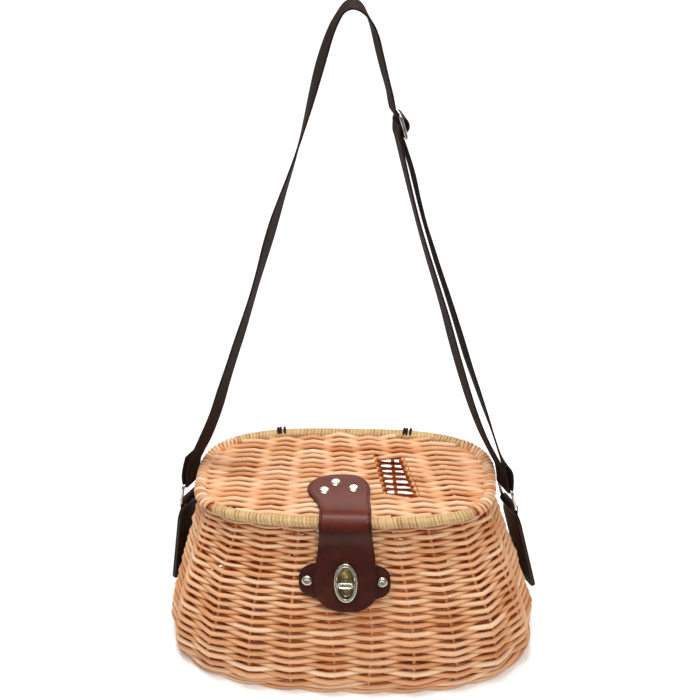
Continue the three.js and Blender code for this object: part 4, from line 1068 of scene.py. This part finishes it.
def make_tabs():
    """A leather tab is one strip folded round the ring's lower bar on a half turn, its two layers side by
    side down to the rivets. It widens under the bar, and its lower corners are quarter rounds of 7 mm."""
    n = np.hypot(1, TAB_LEAN)
    layer, eye, full = 1.75, 3.0, TAB_DROP * n
    steps = np.linspace(full, 9, 40)
    a = np.linspace(-0.35, np.pi + 0.35, 22)[:, None]
    wide = np.concatenate([steps, np.full(len(a), 4.0), steps[::-1]])  # distance down from the bar
    corner = 7.0
    near_end = quarter_round((full - wide) / corner)
    half = 10.4 + 3.6 * smooth_step(wide, 6, 22) - corner * (1 - near_end)
    for side, sign in SIDES:
        out, width = side_axes(sign)
        bar = ring_bar(sign, 1)
        down = (out * TAB_LEAN - Z) / n
        face = (out + Z * TAB_LEAN) / n
        fold = -face * np.cos(a) - down * np.sin(a)
        run, gap = down * steps[:, None], face * (layer / 2 + 0.05)
        rows = np.vstack([bar + run - gap, bar + fold * eye, bar + run[::-1] + gap])
        faces = np.vstack([np.tile(-face, (len(steps), 1)), fold, np.tile(face, (len(steps), 1))])
        path = spline(np.column_stack([rows, faces, half]), 200)
        grid = strip_grid(path[:, :3], unit(path[:, 3:6])[:, None], width, path[:, 6], layer)
        put_mesh(f"tab_{side}", grid_parts(grid[None], flip=sign < 0), "dark_cowhide", f"side_tab_{side}")
        for k, share in enumerate((0.69, 0.885)):
            at = bar + (out * TAB_LEAN - Z) * share * TAB_DROP + face * (layer + 0.15)
            rivet(f"tab_rivet_head_{side}_{k + 1}", f"tab_rivet_{side}_{k + 1}", at, face, 4.7)


# runs of the strap, as rows (share of the way to the apex, share of the rise, turn in degrees)
COURSE_LEFT = (
    (0.018, 0.03, 30), (0.027, 0.047, 31), (0.051, 0.067, 33), (0.107, 0.11, 35), (0.182, 0.176, 30),
    (0.24, 0.239, 26), (0.294, 0.295, 23), (0.349, 0.352, 22), (0.4, 0.406, 18), (0.449, 0.459, 15),
    (0.496, 0.511, 17), (0.539, 0.561, 21), (0.583, 0.611, 20), (0.628, 0.658, 14), (0.675, 0.705, 8),
    (0.718, 0.751, 2), (0.756, 0.796, -5), (0.791, 0.839, -12), (0.826, 0.882, -16), (0.863, 0.923, -15),
    (0.896, 0.955, -10), (0.925, 0.976, -5), (0.958, 0.994, -1))
COURSE_OVER = (
    (1, 1, -2), (0.948, 0.992, -8), (0.907, 0.974, -16), (0.879, 0.951, -20), (0.855, 0.918, -21),
    (0.827, 0.881, -20), (0.8, 0.849, -18.5))
COURSE_OUTER = (
    (0.674, 0.712, -17), (0.635, 0.66, -15), (0.596, 0.611, -15), (0.55, 0.563, -17), (0.5, 0.512, -19),
    (0.447, 0.462, -20), (0.395, 0.411, -21), (0.342, 0.357, -22), (0.288, 0.301, -22),
    (0.227, 0.245, -20), (0.165, 0.188, -17), (0.1, 0.129, -12), (0.045, 0.08, -14))
COURSE_INNER = (
    (0.029, 0.03, -30), (0.043, 0.047, -29), (0.081, 0.069, -28), (0.17, 0.125, -26),
    (0.247, 0.187, -26), (0.306, 0.245, -26), (0.358, 0.301, -26), (0.407, 0.357, -25),
    (0.452, 0.411, -23), (0.5, 0.462, -21), (0.548, 0.512, -20), (0.596, 0.563, -18),
    (0.638, 0.611, -16), (0.677, 0.66, -16), (0.716, 0.712, -17))


def course_at(sign, u, v):
    """A point of the strap: u of the way from the ring's upper bar to the apex, and v of the rise."""
    x, y, z = ring_bar(sign, 0)
    return np.array([x + (APEX_X - x) * u, y, z + (APEX_Z - z) * v])


def slider_frame():
    """Directions along the strap, along the slider's bars and out of its plane, and its middle."""
    along = unit(course_at(1, *COURSE_OUTER[0][:2]) - course_at(1, *COURSE_OVER[-1][:2]))
    flat = np.array([-along[2], 0, along[0]])
    w = Y * np.cos(-0.32) + flat * np.sin(-0.32)
    out = np.cross(w, along)
    return along, w, out * np.sign(out[0]), course_at(1, 0.742, 0.796)


def strap_course():
    """Rows of the webbing's middle line and the direction of its width, in one run: sewn end, left ring,
    over the top, slider, right ring, and back to the slider's middle bar. In a free run the width is
    Y cos(turn) + flat sin(turn), where flat is square to Y and to the run."""
    along, w, normal, centre = slider_frame()
    points, widths, turns = [], [], []

    def free(sign, rows):
        points.extend(course_at(sign, u, v) for u, v, _ in rows)
        widths.extend([None] * len(rows))
        turns.extend(np.radians(angle) for _, _, angle in rows)

    def fixed(start, one, two, width, rows):
        points.extend(start + one * a + two * b for a, b in rows)
        widths.extend([width] * len(rows))
        turns.extend([0] * len(rows))

    def beside(sign, rows):
        out, width = side_axes(sign)
        fixed(ring_bar(sign, 0), out, Z, width, rows)

    r = 1.5 + 0.3 + 0.8  # the wire's radius, a gap and half the webbing
    under = [(r * np.cos(a), -r * np.sin(a)) for a in np.radians(np.arange(0, 181, 30))]
    beside(-1, [(-5.6, 36), (-1.8, 25), (1.6, 13), (2.7, 6), *under, (-2.9, 7)])
    free(-1, COURSE_LEFT)
    free(1, COURSE_OVER)
    fixed(centre, along, normal, w, [
        (-15, -2.2), (-10, -2.5), (-7.7, -1.8), (-6.0, 0.8), (-4.2, 3.4), (-1.7, 4.5), (1.7, 4.5),
        (4.2, 3.4), (6.0, 0.8), (7.7, -1.8), (10, -2.5), (15, -2.0)])
    free(1, COURSE_OUTER)
    beside(1, [(0.8, 22), (2.5, 12), (2.7, 6), *under, (-2.9, 7)])
    free(1, COURSE_INNER)
    back = [(2.4 * np.cos(a), 2.4 * np.sin(a)) for a in np.radians(-100 - np.arange(5) * 38)]
    fixed(centre, along, normal, w, [(15, -4.9), (10, -5.0), (5.8, -4.1), (2.2, -2.9), *back])
    p = np.array(points)
    t = unit(np.vstack([p[1:2] - p[:1], p[2:] - p[:-2], p[-1:] - p[-2:-1]]))
    rows = []
    for k, width in enumerate(widths):
        if width is None:
            flat = np.cross(Y, t[k])
            flat = flat * (np.sign(flat[0]) or 1)
            width = Y * np.cos(turns[k]) + flat * np.sin(turns[k])
        wide = unit(width - t[k] * np.dot(width, t[k]))
        if rows and np.dot(wide, rows[-1][3:]) < 0:
            wide = -wide
        rows.append(np.concatenate([p[k], wide]))
    return np.array(rows)


def make_strap(s):
    """The webbing, a flat section carried along strap_course(), and a box of stitches over its sewn end,
    each a bent thread of 2 mm on its face."""
    course = spline(strap_course(), 900)
    p, wide = course[:, :3], course[:, 3:]
    t = unit(np.gradient(p, axis=0))
    wide = unit(wide - (wide * t).sum(1, keepdims=True) * t)
    out = np.cross(t, wide)
    half = np.full(len(p), 1000 * s.webbing_width / 2)
    grid = strip_grid(p, out[:, None], wide[:, None], half, 1.6, edge=0.55)
    put_mesh("strap_webbing", grid_parts(grid[None], flip=True), "woven_webbing", "shoulder_strap")
    step = np.linalg.norm(p[1] - p[0])
    ends = (3.0, 27.0)
    marks = []  # first and last place along, then across
    for run in np.arange(*ends, 3.2):
        k = int(run / step)
        marks += [(k, k + int(2.2 / step), across, across) for across in (-7.5, 7.5)]
    for run in ends:
        marks += [(int(run / step), int(run / step), w, w + 2.0) for w in np.arange(-6.0, 5.0, 3.0)]
    share = np.linspace(0, 1, 7)
    paths = []
    for face in (1, -1):
        for k0, k1, w0, w1 in marks:
            k = np.round(k0 + (k1 - k0) * share).astype(int)
            lift = face * (0.7 + 0.35 * np.sin(np.pi * share))
            paths.append(p[k] + wide[k] * (w0 + (w1 - w0) * share)[:, None] + out[k] * lift[:, None])
    put_mesh("strap_stitches", rods(paths, out[0], 0.32, 0.5, 6), "woven_webbing", "shoulder_strap")


def make_slider():
    """A wire frame with a bar across its middle, which the webbing goes over and comes back to."""
    along, w, out, centre = slider_frame()
    loop = wire_loop(centre, w, along, 12.4, 10, 2.6, 1.3)
    bar = rods((np.linspace(-12.4, 12.4, 12)[:, None] * w + centre)[None], out, 1.3, 0.5, 12)
    put_mesh("slider", joined(loop, bar), "plated_wire", "strap_slider")


# stage
def stand(name, data, right, up, back, at):
    """A camera or lamp at a place, looking against the direction back."""
    item = new_object(name, data)
    place = np.eye(4)
    place[:3] = np.stack([right, up, back, at], 1)
    item.matrix_world = Matrix(place.tolist())
    return item


def make_stage(s):
    """Pale paper floor that curves up behind along a quarter of 1.5 m, soft lamps, and the camera, which
    is the one that was fitted to the photograph."""
    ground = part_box("foot_wale")[0].z - 0.0009
    start, front, behind, bend, top, half_width = -0.3, -4.0, 3.0, 1.5, 6.0, 6.0
    a = np.linspace(0, np.pi / 2, 24)[1:]
    y = np.concatenate([np.linspace(start, behind, 20), behind + bend * np.sin(a), [behind + bend]])
    z = np.concatenate([np.zeros(20), bend - bend * np.cos(a), [top]])
    sweep = np.stack([y, z], 1)
    for name, curve in (("paper_floor", sweep), ("paper_front", np.array([[front, 0.0], [start, 0.0]]))):
        verts = [[x, y, z + ground] for y, z in curve.tolist() for x in (-half_width, half_width)]
        faces = [[2 * k, 2 * k + 1, 2 * k + 3, 2 * k + 2] for k in range(len(curve) - 1)]
        mesh = bpy.data.meshes.new(name)
        mesh.from_pydata(verts, [], faces)
        mesh.polygons.foreach_set("use_smooth", np.ones(len(faces), bool))
        mesh.materials.append(finish("paper"))
        paper = new_object(name, mesh)
        # what lies in front isn't mirrored, as if a dark card stood behind the camera
        paper.visible_glossy = name == "paper_floor"

    scene = bpy.context.scene
    camera = bpy.data.cameras.new("camera")
    camera.lens, camera.sensor_width, camera.clip_end = 72.0, 36.0, 50.0
    ahead = unit(np.array([-0.0760, 0.7992, -0.5963]))
    up = np.cross(unit(np.array([0.9970, 0.0673, -0.0369])), ahead)
    scene.camera = stand("camera", camera, np.cross(ahead, up), up, -ahead, (0.0770, -0.9614, 0.4050))

    target = np.array([0, 0, -0.5])
    for name, at, size, power in (
        ("key_lamp", (0.6, -1.4, 1.8), 1.1, s.key_power),
        ("fill_lamp", (-1.9, -1.2, 1.0), 1.6, s.fill_power),
        ("top_lamp", (-0.25, 0.0, 2.2), 1.4, s.top_power),
        ("back_lamp", (0.0, 2.4, 1.1), 1.6, s.back_power),
    ):
        lamp = bpy.data.lights.new(name, "AREA")
        lamp.shape, lamp.size, lamp.energy = "DISK", size, power
        back = unit(np.array(at) - target)
        right = unit(np.cross(Z if abs(back[2]) < 0.95 else Y, back))
        stand(name, lamp, right, np.cross(back, right), back, at)
    # light that the thin willow lets through, as one soft warm lamp in the basket
    glow = bpy.data.lights.new("inner_lamp", "POINT")
    glow.energy, glow.shadow_soft_size, glow.color = s.inner_power, 0.04, (1.0, 0.5, 0.22)
    new_object("inner_lamp", glow).location = (-0.023, -0.02, -0.54)
    world = bpy.data.worlds.new("studio")
    world.use_nodes = True
    back = world.node_tree.nodes["Background"]
    back.inputs["Color"].default_value = srgb("#FFFFFF")
    back.inputs["Strength"].default_value = s.world_light
    scene.world = world
    scene.view_settings.view_transform = "Standard"


# settings
def number(name, description, default):
    """A plain number in the settings."""
    return bpy.props.FloatProperty(name=name, description=description, default=default)


def length(name, description, default):
    """A length in metres in the settings."""
    return bpy.props.FloatProperty(name=name, description=description, default=default, unit="LENGTH")


def colour(name, default):
    """An sRGB hex colour in the settings."""
    return bpy.props.StringProperty(name=name, description=f"{name}, as an sRGB hex value", default=default)


class CreelBasket(bpy.types.PropertyGroup):
    """Sizes of the woven basket and lid."""

    stakes: bpy.props.IntProperty(
        name="Stakes", description="Upright rods round the wall, an even number", default=22, min=8)
    straightness: number("Straightness", "Share by which a rod keeps straight between stakes", 0.7)
    phase: number("Stake phase", "Share of a stake spacing that the first stake is left of the middle", 0.33)
    pitch_top: length("Row pitch at the top", "Height of one row of weaving under the lid", 0.0033)
    pitch_foot: length("Row pitch at the foot", "Height of one row of weaving at the foot", 0.0048)
    rod_top: length("Rod at the top", "Diameter of the weaving rods under the lid", 0.0038)
    rod_foot: length("Rod at the foot", "Diameter of the weaving rods at the foot", 0.0048)
    back_thinning: number("Loose back", "Share by which the rods behind the fish slot are thinner", 0.48)
    back_fullness: number("Full back", "Share by which the rods behind are thicker", 0.2)
    lid_pitch: length("Lid row pitch", "Distance from one rod of the lid to the next", 0.00326)
    lid_rod: length("Lid rod", "Diameter of the lid's weaving rods", 0.0046)
    cane_front: length("Front cane", "Half the width over which cane is wound round the front", 0.116)
    cane_back: length("Back cane", "Half the width over which cane is wound round the back", 0.106)
    webbing_width: length("Webbing width", "Width of the shoulder strap", 0.020)


class CreelColours(bpy.types.PropertyGroup):
    """Colours of the creel, as sRGB hex values."""

    # the first colour of willow and of cane is what painted shade falls to, in the weave's hollows and the
    # cane's seams
    willow_hollow_shade: colour("Willow in the hollows", "#9A4611")
    willow_dark: colour("Dark willow", "#B3622A")
    willow_mid: colour("Middle willow", "#CE9161")
    willow_light: colour("Light willow", "#DFB087")
    willow_pale: colour("Pale willow", "#ECCFAE")
    cane_hollow_shade: colour("Cane in the seams", "#513516")
    cane_dark: colour("Dark cane", "#7F5F36")
    cane_mid: colour("Middle cane", "#B89462")
    cane_light: colour("Light cane", "#CFAF7E")
    cane_pale: colour("Pale cane", "#E3CB9F")
    leather_dark: colour("Leather, creased", "#1E0A07")
    leather_light: colour("Leather", "#3B160D")
    # the flap's painted light on the lid's top reaches the palest leather
    leather_palest: colour("Leather, worn", "#632819")
    tab_dark: colour("Dark leather, creased", "#0E0807")
    tab_light: colour("Dark leather", "#21120E")
    tab_palest: colour("Dark leather, worn", "#2E1A14")
    nickel_dark: colour("Nickel, rubbed", "#CBC4AE")
    nickel_light: colour("Nickel", "#F2EDDE")
    brass_dark: colour("Lock floor, rubbed", "#7E6E4B")
    brass_light: colour("Lock floor", "#B7A67F")
    wire_dark: colour("Ring wire, rubbed", "#A3A29E")
    wire_light: colour("Ring wire", "#DADAD6")
    webbing_dark: colour("Webbing, valleys", "#0D0706")
    webbing_light: colour("Webbing", "#38221B")


class CreelStage(bpy.types.PropertyGroup):
    """Strength of the studio's lamps."""

    key_power: number("Key", "Lamp at the right front", 38.0)
    fill_power: number("Fill", "Lamp at the left front", 6.0)
    top_power: number("Top", "Lamp overhead", 54.0)
    back_power: number("Back", "Lamp behind", 22.0)
    inner_power: number("Inside", "Light that the thin willow lets through", 0.14)
    world_light: number("World", "Even light from all sides", 0.22)


class CREEL_OT_wall(bpy.types.Operator):
    """Weave the wall round its stakes"""

    bl_idname, bl_label = "creel.wall", "Wall"

    def execute(self, context):
        make_wall(context.scene.creel_basket)
        return {"FINISHED"}


class CREEL_OT_bands(bpy.types.Operator):
    """Twist the border under the lid and the waling at the foot"""

    bl_idname, bl_label = "creel.bands", "Border and foot"

    def execute(self, context):
        n = context.scene.creel_basket.stakes
        twisted_band("border_strands", "top_border", (BORDER_Z,), 5.25, n, 3.3, 2.3, 1.75, 31)
        twisted_band("foot_strands", "foot_wale", (-179.2, -186.2), 6.0, n, 3.3, 1.7, 2.1, 33, phase=0.1)
        return {"FINISHED"}


class CREEL_OT_base(bpy.types.Operator):
    """Weave the bottom"""

    bl_idname, bl_label = "creel.base", "Bottom"

    def execute(self, context):
        make_base()
        return {"FINISHED"}


class CREEL_OT_lid(bpy.types.Operator):
    """Weave the lid round its fish slot"""

    bl_idname, bl_label = "creel.lid", "Lid"

    def execute(self, context):
        make_lid(context.scene.creel_basket)
        return {"FINISHED"}


class CREEL_OT_rim(bpy.types.Operator):
    """Wind the lid's rim"""

    bl_idname, bl_label = "creel.rim", "Lid rim"

    def execute(self, context):
        make_rim(context.scene.creel_basket)
        return {"FINISHED"}


class CREEL_OT_hinges(bpy.types.Operator):
    """Lash the lid to the border"""

    bl_idname, bl_label = "creel.hinges", "Hinges"

    def execute(self, context):
        make_hinges()
        return {"FINISHED"}


class CREEL_OT_closure(bpy.types.Operator):
    """Make the leather flap, the leather behind it and their rivets"""

    bl_idname, bl_label = "creel.closure", "Leather closure"

    def execute(self, context):
        make_flap()
        make_ears()
        make_rivets()
        return {"FINISHED"}


class CREEL_OT_lock(bpy.types.Operator):
    """Make the turn lock"""

    bl_idname, bl_label = "creel.lock", "Turn lock"

    def execute(self, context):
        make_lock()
        return {"FINISHED"}


class CREEL_OT_sides(bpy.types.Operator):
    """Make the rings and the leather tabs at the ends"""

    bl_idname, bl_label = "creel.sides", "Rings and tabs"

    def execute(self, context):
        make_rings()
        make_tabs()
        return {"FINISHED"}


class CREEL_OT_strap(bpy.types.Operator):
    """Run the webbing through the rings and the slider"""

    bl_idname, bl_label = "creel.strap", "Shoulder strap"

    def execute(self, context):
        make_strap(context.scene.creel_basket)
        make_slider()
        return {"FINISHED"}


class CREEL_OT_stage(bpy.types.Operator):
    """Set up the floor, the lamps and the camera"""

    bl_idname, bl_label = "creel.stage", "Stage"

    def execute(self, context):
        make_stage(context.scene.creel_stage)
        return {"FINISHED"}


OPERATORS = (CREEL_OT_wall, CREEL_OT_bands, CREEL_OT_base, CREEL_OT_lid, CREEL_OT_rim, CREEL_OT_hinges,
             CREEL_OT_closure, CREEL_OT_lock, CREEL_OT_sides, CREEL_OT_strap, CREEL_OT_stage)
SETTINGS = {"creel_basket": CreelBasket, "creel_colours": CreelColours, "creel_stage": CreelStage}


class CREEL_PT_panel(bpy.types.Panel):
    """Lists the creel's pieces and sizes"""

    bl_idname, bl_label = "CREEL_PT_panel", "Fishing creel"
    bl_space_type, bl_region_type, bl_category = "VIEW_3D", "UI", "Creel"

    def draw(self, context):
        for operator in OPERATORS:
            self.layout.operator(operator.bl_idname)
        for name, group in SETTINGS.items():
            box = self.layout.box()
            for key in group.__annotations__:
                box.prop(getattr(context.scene, name), key)


def register():
    for group in SETTINGS.values():
        bpy.utils.register_class(group)
    for name, group in SETTINGS.items():
        setattr(bpy.types.Scene, name, bpy.props.PointerProperty(type=group))
    for operator in (*OPERATORS, CREEL_PT_panel):
        bpy.utils.register_class(operator)


def unregister():
    for operator in (CREEL_PT_panel, *OPERATORS[::-1]):
        bpy.utils.unregister_class(operator)
    for name, group in SETTINGS.items():
        delattr(bpy.types.Scene, name)
        bpy.utils.unregister_class(group)


def main():
    register()
    for operator in OPERATORS:
        getattr(bpy.ops.creel, operator.bl_idname.split(".")[1])()


if __name__ == "__main__":
    main()
